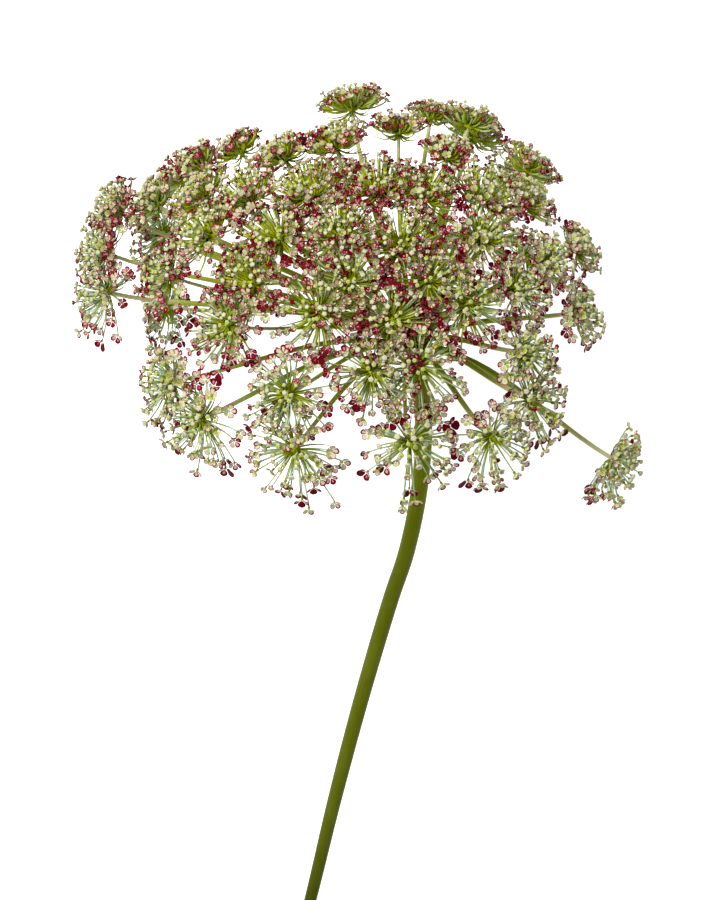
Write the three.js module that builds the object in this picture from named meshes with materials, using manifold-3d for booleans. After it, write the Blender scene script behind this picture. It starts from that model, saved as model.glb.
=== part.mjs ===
// A cut stem of dark-flowered queen anne's lace, lying on a flat surface.
// The stem, its receptacle and all its rays grew as one and are one solid. Each ray carries an umbellet:
// a hub, its pedicels and their florets in one solid, which sits on the tip of its ray.
// Millimetres, +Z up, +Y along the stem towards the flower head, the surface at z = 0.
import * as THREE from 'three';
import { mergeVertices } from 'three/addons/utils/BufferGeometryUtils.js';
import Module from 'manifold-3d';

const wasm = await Module();
wasm.setup();

// ---- driving dimensions -------------------------------------------------------------------------

const SEED = 1753;
const GAP = 0.3; // between an umbellet and the tip of its ray

// The places below are given as seen from an eye straight above, on the level of the stem's node.
const NODE_HEIGHT = 46;
const EYE_OVER_NODE = 450;

// The flower head is a dome round its own axis, which rises from the surface and leans to the left.
const DOME = { x: -1.4, y: 24.6, z: 47, radius: 49, depth: 42 };
const AXIS_RISE = THREE.MathUtils.degToRad(30);
const AXIS_LEAN = THREE.MathUtils.degToRad(8);

// Stem from its cut end to the receptacle: place as seen from above, and height of its middle.
const STEM_ROUTE = [
  [-15.2, -110, 1],
  [-9.7, -89.8, 4.7],
  [-4.4, -70, 9.5],
  [0.9, -50, 15.3],
  [6.1, -30, 22.3],
  [9.5, -20, 26.3],
  [12.1, -6, 32.3],
  [12.6, 8, 39],
  [10.4, 20, NODE_HEIGHT],
];
const STEM_RADIUS = { cutEnd: 1.1, middle: 1.62, underHead: 2 };
const STEM_SIDES = 8;
const STEM_STEPS = 18;
const RECEPTACLE_RADIUS = 3.1;
const RECEPTACLE_SIDES = 8;

const RAY_RADIUS = { root: 0.55, tip: 0.45 };
const RAY_SIDES = 3;
const RAY_STEPS = 4;
const RAY_SPREAD_AT_ROOT = 0.7; // share of a ray's final angle to the axis that it starts with
const RAY_ROOT_DEPTH = 0.6; // of a ray's root from the middle of the receptacle, as a share of its radius
const RAY_RISE = 0.34; // share of its span over which a ray keeps its first direction
const RAY_ARRIVAL = 0.32; // share of its span over which it lines up with its umbellet

// Umbellets that show from above: x, y, and how far round the dome's far side (0 near, 1 far).
const TOP_HEADS = [
  [-1.6, 68.4, 0.5], [7.8, 63.8, 0], [14.2, 66.8, 0.5], [21.8, 65, 0.5], [17.6, 58.8, 0],
  [33.6, 56.2, 0], [-4.8, 60.8, 0], [-15.2, 58.6, 0], [-24, 60, 0.1], [-31.8, 57, 0.1],
];
const RIGHT_HEADS = [
  [33.2, 49.6, 0], [43.2, 40.2, 0], [38, 37.4, 0], [31.6, 32, 0], [43.6, 27.6, 0], [24.6, 42.4, 0],
  [24.8, 50.2, 0], [33.2, 19.6, 0], [34.2, 10, 0], [51, -2, 0.5], [26.4, 2.6, 0], [21.4, 29.2, 0],
];
const FRONT_HEADS = [
  [10, 1.4, 0], [-13, 0.2, 0], [-14.2, 11.2, 0], [-31.8, 6.2, 0], [-38, 13.6, 0], [2.4, 15.6, 0],
  [11.8, 16.8, 0], [6.2, 25.8, 0], [13.6, 34, 0], [-8.2, 27.4, 0], [-26.2, 25, 0], [-21.6, 33.2, 0],
];
const LEFT_HEADS = [
  [-38.4, 35, 0], [-50.8, 31.6, 0.2], [-51.2, 39.6, 0.9], [-48.6, 47.8, 0.4], [-40.8, 49.2, 0],
  [-31.4, 50.4, 0], [-30.6, 42.8, 0], [-22, 50, 0],
];
const MIDDLE_HEADS = [
  [-16, 42.2, 0], [-2, 33.6, 0], [8.2, 40.8, 0], [-4.4, 42.8, 0], [-10, 50.8, 0], [4, 51.6, 0],
  [12.6, 50.6, 0],
];

// Umbellets on the side that lies on the surface: rows by their angle to the axis.
const UNDER_ROWS = [{ angle: 50, count: 2 }, { angle: 72, count: 3 }, { angle: 96, count: 5 }];
const UNDER_HALF_TURN = 52; // degrees that each row reaches to either side of the lowest line
const SETTLED_HUB_HEIGHT = 6.2; // hubs that would come to lie below SETTLING_BELOW rest at this height
const SETTLING_BELOW = 15;
const STEEPEST_UNDER = -0.35; // an umbellet on the surface splays out: it faces down no more than this

const REACH = { crown: 6.8, rim: 8.3, spread: 0.3 }; // an umbellet's scale, at the dome's top and rim
const RIM_STRETCH = 0.5; // pedicels that point down from a rim umbellet are longer by this
const HUB_RADIUS = 1.1;
const PEDICEL_RADIUS = 0.3;
const PEDICEL_FOOT_RADIUS = 0.48; // mean radius of its tapering length, for the room that it needs

// Florets by their place in an umbellet, from its middle out. tilt is the angle of the pedicel to the
// umbellet's axis, length and radius are shares of the umbellet's reach.
const BUD = { tilt: 32, length: 0.58, radius: 0.17, corners: 3, height: 0.09, neck: 0 };
const HALF_OPEN = { tilt: 56, length: 0.78, radius: 0.23, corners: 5, height: 0.07, neck: 0.1 };
const OPEN = { tilt: 80, length: 0.9, radius: 0.29, corners: 10, height: 0.05, neck: 0.11 };
const PETAL_NOTCH = 0.56; // radius between two petals, as a share of the floret's
const OUTER_PETAL_GAIN = 0.22; // petals that point away from the umbellet's middle are longer by this
const JITTER = { tilt: 5, turn: 7, length: 0.06, radius: 0.015 }; // tilt and turn in degrees
const CLEARANCE = 0.15; // kept between florets, pedicels and rays of different umbellets
const SIZE_TRIES = [1, 0.8, 0.65]; // of a floret that has little room
const LENGTH_TRIES = [1, 0.86, 0.73, 0.6]; // of its pedicel
const BEND_TRIES = [0, -10, 9, -20]; // degrees, towards and away from the umbellet's axis
const TURN_TRIES = [0, -13, 13]; // degrees, round that axis

// ---- helpers ------------------------------------------------------------------------------------

// Seeded draws between 0 and 1, the same on every run.
function seededDraws(seed) {
  let state = seed;
  return () => {
    state = (state + 0x6d2b79f5) | 0;
    let mixed = Math.imul(state ^ (state >>> 15), 1 | state);
    mixed = (mixed + Math.imul(mixed ^ (mixed >>> 7), 61 | mixed)) ^ mixed;
    return ((mixed ^ (mixed >>> 14)) >>> 0) / 4294967296;
  };
}

const UP = new THREE.Vector3(0, 0, 1);
const WELD = 1e-4; // corners closer than this are one

const draw = seededDraws(SEED);
const around = (middle, spread) => middle + spread * (2 * draw() - 1);

// Two directions square to the given one, as [first, second], anticlockwise seen from its tip.
function squareTo(direction, reference) {
  const first = reference.clone().addScaledVector(direction, -reference.dot(direction)).normalize();
  return [first, direction.clone().cross(first)];
}

// A closed surface in the making. A ring is a list of corners with their angle round one direction.
class Surface {
  positions = [];
  index = [];

  corner(point, angle = 0) {
    this.positions.push(point.x, point.y, point.z);
    return { id: this.positions.length / 3 - 1, angle, point };
  }

  triangle(a, b, c) {
    this.index.push(a.id, b.id, c.id);
  }

  // Closes a ring at its tip.
  fan(ring, tip) {
    ring.forEach((corner, i) => this.triangle(corner, ring[(i + 1) % ring.length], tip));
  }

  // Joins a ring to the next one along their direction, with as few skewed triangles as it can.
  stitch(lower, upper) {
    const turnFrom = (angle, start) => THREE.MathUtils.euclideanModulo(angle - start, 2 * Math.PI);
    const low = [...lower].sort((a, b) => a.angle - b.angle);
    const start = low[0].angle;
    const nearest = (c) => Math.min(turnFrom(c.angle, start), turnFrom(start, c.angle));
    const sorted = [...upper].sort((a, b) => a.angle - b.angle);
    const first = sorted.indexOf([...sorted].sort((a, b) => nearest(a) - nearest(b))[0]);
    const high = sorted.map((_, k) => sorted[(k + first) % sorted.length]);
    const unwrap = (ring) => {
      const turns = ring.map((c) => turnFrom(c.angle, start));
      if (turns[0] > Math.PI) turns[0] -= 2 * Math.PI;
      return [...turns, turns[0] + 2 * Math.PI];
    };
    const lowTurns = unwrap(low);
    const highTurns = unwrap(high);
    let i = 0;
    let j = 0;
    while (i < low.length || j < high.length) {
      const lowMiddle = i < low.length ? lowTurns[i] + lowTurns[i + 1] : Infinity;
      const highMiddle = j < high.length ? highTurns[j] + highTurns[j + 1] : Infinity;
      const a = low[i % low.length];
      const b = high[j % high.length];
      if (lowMiddle < highMiddle) {
        i += 1;
        this.triangle(a, low[i % low.length], b);
      } else {
        j += 1;
        this.triangle(a, high[j % high.length], b);
      }
    }
  }

  geometry() {
    const geometry = new THREE.BufferGeometry();
    geometry.setAttribute('position', new THREE.Float32BufferAttribute(this.positions, 3));
    geometry.setIndex(this.index);
    return geometry;
  }
}

function toManifold(geometry) {
  const bare = geometry.clone();
  bare.deleteAttribute('normal');
  bare.deleteAttribute('uv');
  const merged = mergeVertices(bare, WELD);
  return new wasm.Manifold(new wasm.Mesh({
    numProp: 3,
    vertProperties: new Float32Array(merged.attributes.position.array),
    triVerts: new Uint32Array(merged.index.array),
  }));
}

function toGeometry(solid) {
  const mesh = solid.getMesh();
  const geometry = new THREE.BufferGeometry();
  geometry.setAttribute('position', new THREE.Float32BufferAttribute(mesh.vertProperties, 3));
  geometry.setIndex([...mesh.triVerts]);
  return geometry;
}

// A tapered stalk along a curve. No point of it goes below the surface that the stem lies on.
function stalk(curve, steps, sides, radiusAt) {
  const surface = new Surface();
  const frames = curve.computeFrenetFrames(steps, false);
  const rings = frames.tangents.map((_, step) => {
    const middle = curve.getPointAt(step / steps);
    return Array.from({ length: sides }, (__, side) => {
      const angle = (2 * Math.PI * side) / sides;
      const point = middle.clone()
        .addScaledVector(frames.normals[step], radiusAt(step / steps) * Math.cos(angle))
        .addScaledVector(frames.binormals[step], radiusAt(step / steps) * Math.sin(angle));
      point.z = Math.max(point.z, 0);
      return surface.corner(point, angle);
    });
  });
  const flat = (ring) => ring.slice(2).map((_, k) => [ring[0], ring[k + 1], ring[k + 2]]);
  flat(rings[0]).forEach(([a, b, c]) => surface.triangle(a, c, b));
  for (let step = 0; step < steps; step += 1) surface.stitch(rings[step], rings[step + 1]);
  flat(rings[steps]).forEach(([a, b, c]) => surface.triangle(a, b, c));
  return surface.geometry();
}

// ---- places -------------------------------------------------------------------------------------

const axis = new THREE.Vector3(
  -Math.sin(AXIS_LEAN) * Math.cos(AXIS_RISE),
  Math.cos(AXIS_LEAN) * Math.cos(AXIS_RISE),
  Math.sin(AXIS_RISE),
);
const domeMiddle = new THREE.Vector3(DOME.x, DOME.y, DOME.z);
const eye = new THREE.Vector3(0, 0, NODE_HEIGHT + EYE_OVER_NODE);

// The point at a height on the line of sight through (x, y) at the node's level.
function onSight(x, y, height) {
  const share = (eye.z - height) / EYE_OVER_NODE;
  return new THREE.Vector3(x * share, y * share, height);
}

// The dome's own measure of two vectors: it is 1 for a point of the dome with itself.
function domeProduct(p, q) {
  const along = p.dot(axis) * q.dot(axis);
  return (p.dot(q) - along) / DOME.radius ** 2 + along / DOME.depth ** 2;
}

function facingOf(hub) {
  const fromMiddle = hub.clone().sub(domeMiddle);
  const along = axis.clone().multiplyScalar(fromMiddle.dot(axis));
  const outward = fromMiddle.clone().sub(along).divideScalar(DOME.radius ** 2)
    .addScaledVector(along, 1 / DOME.depth ** 2).normalize();
  return outward.add(hub.clone().sub(node).normalize()).normalize();
}

// Where the line of sight through (x, y) meets the dome, on its near or its far side.
function hubOnSight([x, y, farShare]) {
  const sight = new THREE.Vector3(x, y, NODE_HEIGHT).sub(eye);
  const start = eye.clone().sub(domeMiddle);
  const a = domeProduct(sight, sight);
  const b = domeProduct(start, sight);
  const c = domeProduct(start, start) - 1;
  const halfSpan = Math.sqrt(Math.max(b * b - a * c, 0));
  const share = (-b + halfSpan * (2 * farShare - 1)) / a;
  return eye.clone().addScaledVector(sight, share);
}

// Hubs in a row on the side that lies down, at one angle to the axis.
function hubsInUnderRow({ angle, count }) {
  const polar = THREE.MathUtils.degToRad(angle);
  const [down, sideways] = squareTo(axis, new THREE.Vector3(0, 0, -1));
  return Array.from({ length: count }, (_, k) => {
    const share = (2 * k) / (count - 1) - 1;
    const turn = THREE.MathUtils.degToRad(UNDER_HALF_TURN) * share;
    const hub = domeMiddle.clone()
      .addScaledVector(axis, DOME.depth * Math.cos(polar))
      .addScaledVector(down, DOME.radius * Math.sin(polar) * Math.cos(turn))
      .addScaledVector(sideways, DOME.radius * Math.sin(polar) * Math.sin(turn));
    if (hub.z < SETTLING_BELOW) hub.z = SETTLED_HUB_HEIGHT;
    return hub;
  });
}

const stemCurve = new THREE.CatmullRomCurve3(STEM_ROUTE.map((place) => onSight(...place)));
const node = stemCurve.getPoint(1);

const visibleHubs = [TOP_HEADS, RIGHT_HEADS, FRONT_HEADS, LEFT_HEADS, MIDDLE_HEADS].flat()
  .map(hubOnSight);
const underHubs = UNDER_ROWS.flatMap(hubsInUnderRow);

// An umbellet's place: its hub, the way it faces, its scale and how near it is to the dome's crown.
function headAt(hub, steepest) {
  const facing = facingOf(hub);
  facing.z = Math.max(facing.z, steepest);
  facing.normalize();
  const crownShare = THREE.MathUtils.clamp(hub.clone().sub(domeMiddle).dot(axis) / DOME.depth, 0, 1);
  const reach = around(THREE.MathUtils.lerp(REACH.rim, REACH.crown, crownShare), REACH.spread);
  return { hub, facing, reach, crownShare, spin: draw() * 2 * Math.PI };
}

const heads = [
  ...visibleHubs.map((hub) => headAt(hub, -1)),
  ...underHubs.map((hub) => headAt(hub, STEEPEST_UNDER)),
];

// ---- stem and rays ------------------------------------------------------------------------------

function rayCurve({ hub, facing }) {
  const tip = hub.clone().addScaledVector(facing, -(HUB_RADIUS + GAP));
  const span = tip.clone().sub(node);
  const angleToAxis = span.angleTo(axis);
  const [outward] = squareTo(axis, span);
  const start = axis.clone().applyAxisAngle(
    axis.clone().cross(outward), angleToAxis * RAY_SPREAD_AT_ROOT);
  const root = node.clone().addScaledVector(start, RECEPTACLE_RADIUS * RAY_ROOT_DEPTH);
  return new THREE.CubicBezierCurve3(
    root,
    root.clone().addScaledVector(start, span.length() * RAY_RISE),
    tip.clone().addScaledVector(facing, -span.length() * RAY_ARRIVAL),
    tip,
  );
}

function stemRadius(share) {
  const { cutEnd, middle, underHead } = STEM_RADIUS;
  const lower = THREE.MathUtils.lerp(cutEnd, middle, Math.min(2 * share, 1));
  return THREE.MathUtils.lerp(lower, underHead, Math.max(2 * share - 1, 0));
}

const rayCurves = heads.map(rayCurve);

function stemWithRays() {
  const receptacle = new THREE.SphereGeometry(RECEPTACLE_RADIUS, RECEPTACLE_SIDES, RECEPTACLE_SIDES / 2)
    .translate(node.x, node.y, node.z);
  const rays = rayCurves.map((curve) => stalk(curve, RAY_STEPS, RAY_SIDES,
    (share) => THREE.MathUtils.lerp(RAY_RADIUS.root, RAY_RADIUS.tip, share)));
  const stem = stalk(stemCurve, STEM_STEPS, STEM_SIDES, stemRadius);
  return toGeometry([stem, receptacle, ...rays].map(toManifold).reduce((a, b) => a.add(b)));
}

// ---- umbellets ----------------------------------------------------------------------------------

// The hub is an icosahedron standing on a corner. Its faces, from the top down, carry the buds, the
// half-open florets and the open florets; the lowest five stay bare.
function hubShape() {
  const shape = new THREE.IcosahedronGeometry(HUB_RADIUS, 0);
  shape.deleteAttribute('normal');
  shape.deleteAttribute('uv');
  const merged = mergeVertices(shape, WELD);
  const top = new THREE.Vector3().fromBufferAttribute(merged.attributes.position, 0).normalize();
  merged.applyQuaternion(new THREE.Quaternion().setFromUnitVectors(top, UP));
  const corners = Array.from({ length: merged.attributes.position.count }, (_, i) =>
    new THREE.Vector3().fromBufferAttribute(merged.attributes.position, i));
  const faces = [];
  for (let i = 0; i < merged.index.count; i += 3) {
    faces.push([0, 1, 2].map((k) => merged.index.getX(i + k)));
  }
  const height = (face) => face.reduce((sum, id) => sum + corners[id].z, 0);
  return { corners, faces: faces.sort((a, b) => height(b) - height(a)) };
}

const HUB = hubShape();
const TIERS = [BUD, HALF_OPEN, OPEN];
const TIER_SIZE = 5;
const ROD_SAMPLES = [0, 0.2, 0.4, 0.6, 0.8, 1];
const TRIES = SIZE_TRIES.flatMap((size) => LENGTH_TRIES.flatMap((shorter) =>
  BEND_TRIES.flatMap((bend) => TURN_TRIES.map((turn) => ({ size, shorter, bend, turn })))));

// What already stands in the way: balls round florets, and rods round pedicels and rays.
const balls = [];
const rods = [];

heads.forEach(({ hub }, owner) => balls.push({ middle: hub, radius: HUB_RADIUS, owner, isHub: true }));
rayCurves.forEach((curve, owner) => {
  const points = curve.getSpacedPoints(2 * RAY_STEPS);
  points.slice(1).forEach((to, k) => rods.push({
    from: points[k], to, radius: RAY_RADIUS.root, owner, isRay: true,
  }));
});

function distanceToRod(point, { from, to }) {
  const closest = new THREE.Line3(from, to).closestPointToPoint(point, true, new THREE.Vector3());
  return closest.distanceTo(point);
}

function rodsApart(first, second) {
  return Math.min(...ROD_SAMPLES.map((share) =>
    distanceToRod(first.from.clone().lerp(first.to, share), second)));
}

function isFree(ball, rod, owner) {
  const room = (a, b) => a.radius + b.radius + CLEARANCE;
  const clearOfBall = (other) => {
    const apart = other.middle.distanceTo(ball.middle) > room(other, ball);
    if (other.owner === owner) return other.isHub || apart;
    return apart && distanceToRod(other.middle, rod) > room(other, rod);
  };
  const clearOfRod = (other) => {
    const apart = distanceToRod(ball.middle, other) > room(ball, other);
    if (other.owner === owner) return !other.isRay || apart;
    return apart && rodsApart(rod, other) > room(rod, other);
  };
  return balls.every(clearOfBall) && rods.every(clearOfRod);
}

// Corners round a floret. Petals that point away from the umbellet's middle are longer.
function floretRim(middle, facing, spinReference, outward, tier, radius) {
  const [u, v] = squareTo(facing, spinReference);
  return Array.from({ length: tier.corners }, (_, k) => {
    const angle = (2 * Math.PI * k) / tier.corners;
    const arm = u.clone().multiplyScalar(Math.cos(angle)).addScaledVector(v, Math.sin(angle));
    const notch = tier === OPEN && k % 2 === 1 ? PETAL_NOTCH : 1;
    const gain = tier === OPEN ? 1 + OUTER_PETAL_GAIN * arm.dot(outward) : 1;
    return middle.clone().addScaledVector(arm, radius * gain * notch);
  });
}

// Lays out one pedicel and its floret, lifted so that the floret is not below the surface.
function layOut(head, tier, direction, length, spinReference, radius) {
  const { hub, facing, reach } = head;
  const middle = hub.clone().addScaledVector(direction, length);
  const floretFacing = direction.clone().add(facing).normalize();
  const rim = floretRim(middle, floretFacing, spinReference, direction, tier, radius);
  const lift = Math.max(0, ...rim.map((corner) => -corner.z));
  rim.forEach((corner) => corner.addScaledVector(UP, lift));
  middle.addScaledVector(UP, lift);
  const neck = middle.clone().addScaledVector(floretFacing, -tier.neck * reach);
  neck.z = Math.max(neck.z, PEDICEL_RADIUS);
  const tip = middle.clone().addScaledVector(floretFacing, tier.height * reach);
  tip.z = Math.max(tip.z, 0);
  return { tier, rim, neck, tip, middle, radius };
}

// Tries a pedicel at its full length first, then shorter or bent, until it is clear of its neighbours.
function findRoom(head, owner, tier, azimuth) {
  const [u, v] = squareTo(head.facing, UP);
  const ownTilt = around(tier.tilt, JITTER.tilt);
  const ownTurn = around(0, JITTER.turn);
  const ownLength = around(1, JITTER.length) * tier.length * head.reach;
  const ownRadius = around(tier.radius, JITTER.radius) * head.reach;
  const spinReference = new THREE.Vector3(around(0, 1), around(0, 1), around(0, 1)).normalize();
  for (const { size, shorter, bend, turn } of TRIES) {
    const tilt = THREE.MathUtils.degToRad(ownTilt + bend);
    const heading = azimuth + THREE.MathUtils.degToRad(ownTurn + turn);
    const direction = head.facing.clone().multiplyScalar(Math.cos(tilt))
      .addScaledVector(u, Math.sin(tilt) * Math.cos(heading))
      .addScaledVector(v, Math.sin(tilt) * Math.sin(heading));
    const stretch = 1 + RIM_STRETCH * (1 - head.crownShare) * Math.max(0, -direction.dot(axis));
    const length = ownLength * stretch * shorter;
    const floret = layOut(head, tier, direction, length, spinReference, ownRadius * size);
    const widest = floret.radius * (tier === OPEN ? 1 + OUTER_PETAL_GAIN / 2 : 1);
    const ball = { middle: floret.middle, radius: widest, owner };
    const start = head.hub.clone().addScaledVector(direction, HUB_RADIUS);
    const rod = { from: start, to: floret.neck, radius: PEDICEL_FOOT_RADIUS, owner };
    if (isFree(ball, rod, owner)) {
      balls.push(ball);
      rods.push(rod);
      return floret;
    }
  }
  return null;
}

function middleOf(face) {
  return face.reduce((sum, { point }) => sum.add(point), new THREE.Vector3()).divideScalar(3);
}

// Raises a pedicel and its floret out of a face of the hub.
function raiseFloret(surface, face, floret) {
  const root = middleOf(face);
  const direction = floret.neck.clone().sub(root).normalize();
  const [u, v] = squareTo(direction, face[0].point.clone().sub(root));
  const angleRound = (middle, point) => {
    const arm = point.clone().sub(middle);
    return Math.atan2(arm.dot(v), arm.dot(u));
  };
  const foot = face.map((corner) => ({ ...corner, angle: angleRound(root, corner.point) }));
  const rim = floret.rim.map((point) => surface.corner(point, angleRound(floret.middle, point)));
  if (floret.tier.neck > 0) {
    const neck = foot.map(({ angle }) => surface.corner(floret.neck.clone()
      .addScaledVector(u, PEDICEL_RADIUS * Math.cos(angle))
      .addScaledVector(v, PEDICEL_RADIUS * Math.sin(angle)), angle));
    surface.stitch(foot, neck);
    surface.stitch(neck, rim);
  } else {
    surface.stitch(foot, rim);
  }
  surface.fan(rim, surface.corner(floret.tip));
}

function umbellet(head, owner) {
  const surface = new Surface();
  const turned = new THREE.Quaternion().setFromUnitVectors(UP, head.facing)
    .multiply(new THREE.Quaternion().setFromAxisAngle(UP, head.spin));
  const corners = HUB.corners.map((corner) =>
    surface.corner(corner.clone().applyQuaternion(turned).add(head.hub)));
  const [u, v] = squareTo(head.facing, UP);
  HUB.faces.forEach((ids, order) => {
    const face = ids.map((id) => corners[id]);
    const tier = TIERS[Math.floor(order / TIER_SIZE)];
    const arm = middleOf(face).sub(head.hub);
    const floret = tier && findRoom(head, owner, tier, Math.atan2(arm.dot(v), arm.dot(u)));
    if (floret) raiseFloret(surface, face, floret);
    else surface.triangle(...face);
  });
  return surface.geometry();
}

// ---- materials and the whole flower -------------------------------------------------------------

const STEM_GREEN = new THREE.MeshStandardMaterial({ color: '#6d7a2a', roughness: 0.55, metalness: 0 });

// Paler and greener towards the crown, darker crimson towards the rim.
function umbelletMaterial(crownShare) {
  const color = new THREE.Color('#a85a62').lerp(new THREE.Color('#b9b48a'), crownShare);
  return new THREE.MeshStandardMaterial({ color, roughness: 0.75, metalness: 0 });
}

function named(name, geometry, material) {
  const mesh = new THREE.Mesh(geometry, material);
  mesh.name = name;
  return mesh;
}

const flower = new THREE.Group();
flower.add(named('stem', stemWithRays(), STEM_GREEN));
heads.forEach((head, i) => {
  const name = `umbellet_${String(i + 1).padStart(2, '0')}`;
  flower.add(named(name, umbellet(head, i), umbelletMaterial(head.crownShare)));
});

// The origin is on the surface, under the middle of the flower's box.
const box = new THREE.Box3().setFromObject(flower);
const boxMiddle = box.getCenter(new THREE.Vector3());
flower.position.set(-boxMiddle.x, -boxMiddle.y, -box.min.z);

export default flower;
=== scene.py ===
"""A cut stem of dark-flowered queen anne's lace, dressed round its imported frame.

The stem, its receptacle and its rays are one grown piece. Each ray carries a head: a green hub, its
pedicels, round and opening buds in the middle, half-open florets round them, open florets at the rim and
a few thread-like bractlets below. Every head is one piece that stands for its umbellet of the frame.
Shapes are made in millimetres in the flower's own coordinates; a finished mesh is then moved into the
row frame, in metres.
"""

import sys
import logging
import math
import random
from dataclasses import dataclass
from enum import Enum
from typing import Iterable, Iterator, Mapping, Sequence, TypeVar

import bmesh
import bpy
from mathutils import Matrix, Vector
from mathutils.geometry import interpolate_bezier


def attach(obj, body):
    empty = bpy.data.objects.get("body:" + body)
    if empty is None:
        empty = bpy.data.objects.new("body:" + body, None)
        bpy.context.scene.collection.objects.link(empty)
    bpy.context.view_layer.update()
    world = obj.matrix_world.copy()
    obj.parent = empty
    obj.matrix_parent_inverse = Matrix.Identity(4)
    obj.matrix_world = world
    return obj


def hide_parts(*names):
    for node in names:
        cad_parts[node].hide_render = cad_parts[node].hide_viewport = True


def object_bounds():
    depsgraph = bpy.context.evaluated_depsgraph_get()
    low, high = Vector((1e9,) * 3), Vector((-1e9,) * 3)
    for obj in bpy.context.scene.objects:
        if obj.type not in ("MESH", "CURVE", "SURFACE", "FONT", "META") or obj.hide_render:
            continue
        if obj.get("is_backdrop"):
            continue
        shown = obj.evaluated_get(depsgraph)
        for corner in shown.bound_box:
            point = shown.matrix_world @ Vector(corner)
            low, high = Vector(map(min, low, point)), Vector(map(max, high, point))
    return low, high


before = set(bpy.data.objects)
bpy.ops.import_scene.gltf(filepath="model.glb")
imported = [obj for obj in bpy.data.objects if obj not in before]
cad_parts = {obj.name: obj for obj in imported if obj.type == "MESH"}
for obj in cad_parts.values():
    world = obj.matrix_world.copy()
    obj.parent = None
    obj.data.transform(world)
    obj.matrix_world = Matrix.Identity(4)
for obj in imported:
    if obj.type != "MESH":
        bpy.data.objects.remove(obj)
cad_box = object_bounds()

log = logging.getLogger("flower")

Colour = tuple[float, float, float, float]
Item = TypeVar("Item")

SEED = 1753
PETALS = 5
UP = Vector((0, 0, 1))
TINY = 1e-6
ALONG = "along"  # attribute: place on a part, from its root at 0 to its tip at 1
# On a stalk the tone is painted light and shade; on a pedicel its coolness is partly a painted highlight.
TONE = "tone"  # attribute: how ripe a floret is, how cool a green is, or how much brighter a stalk is
AROUND = "around"  # attribute: direction round a stalk as (cos, sin), and the length along it
STREAK_STRETCH = 0.06  # turns of that direction that a millimetre of length counts for
CUT_EDGE = math.radians(48)  # a stalk stays smooth round and along, and its cut rim is sharp
LEAF_EDGE = math.radians(125)  # the few faces round a pedicel or over a petal run into each other

# The flower's own coordinates, in millimetres, moved into the row frame, in metres.
TO_ROW = Matrix.Scale(0.001, 4) @ Matrix.Translation((0.1928, 24.4298, 0))

NODE_HEIGHT = 46.0
EYE_OVER_NODE = 450.0
EYE = Vector((0, 0, NODE_HEIGHT + EYE_OVER_NODE))

# Heads that show from above: x and y as seen from the eye on the node's level, how far round the
# dome's far side they are, from 0 for near to 1 for far, and how large they are beside the usual one.
SEEN_HEADS = (
    (-1.6, 68.4, 0.5, 0.82), (7.8, 63.8, 0, 0.74), (14.2, 66.8, 0.5, 0.6), (21.8, 65, 0.5, 0.8),
    (17.6, 58.8, 0, 0.72), (33.6, 56.2, 0, 0.8), (-4.8, 60.8, 0, 0.88), (-15.2, 58.6, 0, 0.78),
    (-24, 60, 0.1, 0.68), (-31.8, 57, 0.1, 0.72), (33.2, 49.6, 0, 0.78), (43.2, 40.2, 0, 0.7),
    (38, 37.4, 0, 0.72), (31.6, 32, 0, 0.76), (43.6, 27.6, 0, 0.66), (24.6, 42.4, 0, 0.96),
    (24.8, 50.2, 0, 0.96), (33.2, 19.6, 0, 0.76), (34.2, 10, 0, 0.86), (51, -2, 0.5, 0.9),
    (26.4, 2.6, 0, 0.96), (21.4, 29.2, 0, 1), (10, 1.4, 0, 1), (-13, 0.2, 0, 1.04),
    (-14.2, 11.2, 0, 1), (-31.8, 6.2, 0, 1.06), (-38, 13.6, 0, 0.92), (2.4, 15.6, 0, 1),
    (11.8, 16.8, 0, 1), (6.2, 25.8, 0, 1), (13.6, 34, 0, 1), (-8.2, 27.4, 0, 1),
    (-26.2, 25, 0, 1), (-21.6, 33.2, 0, 1), (-38.4, 35, 0, 0.86), (-50.8, 31.6, 0.2, 1.04),
    (-51.2, 39.6, 0.9, 0.9), (-48.6, 47.8, 0.4, 0.8), (-40.8, 49.2, 0, 0.86), (-31.4, 50.4, 0, 0.9),
    (-30.6, 42.8, 0, 1), (-22, 50, 0, 0.96), (-16, 42.2, 0, 1), (-2, 33.6, 0, 1),
    (8.2, 40.8, 0, 1), (-4.4, 42.8, 0, 1), (-10, 50.8, 0, 1), (4, 51.6, 0, 1),
    (12.6, 50.6, 0, 1),
)

# The stem's middle line: x and y as seen from the eye on the node's level, and height.
STEM_PLACES = (
    (-15.3, -110, 1), (-9.9, -89.8, 4.7), (-5.1, -70, 9.5), (0.2, -50, 15.3), (6.1, -30, 22.3),
    (9.4, -20, 26.3), (12.1, -6, 32.3), (12.6, 8, 39), (10.4, 20, NODE_HEIGHT),
)


# ---- small helpers ------------------------------------------------------------------------------


def colour(red: int, green: int, blue: int) -> Colour:
    """Turns a colour of 0 to 255, as a screen shows it, into Blender's linear one.

    Args:
        red: Red from 0 to 255.
        green: Green from 0 to 255.
        blue: Blue from 0 to 255.

    Returns:
        The linear colour with an alpha of 1.
    """
    shares = (value / 255 for value in (red, green, blue))
    # The numbers are those of the sRGB curve: a short straight foot, then a power.
    return (*(s / 12.92 if s <= 0.04045 else ((s + 0.055) / 1.055) ** 2.4 for s in shares), 1.0)


def between(low: float, high: float, share: float) -> float:
    """Returns the number that is share of the way from low to high."""
    return low + (high - low) * share


def limit(value: float, low: float = 0.0, high: float = 1.0) -> float:
    """Returns the value, held between low and high."""
    return max(low, min(high, value))


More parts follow.
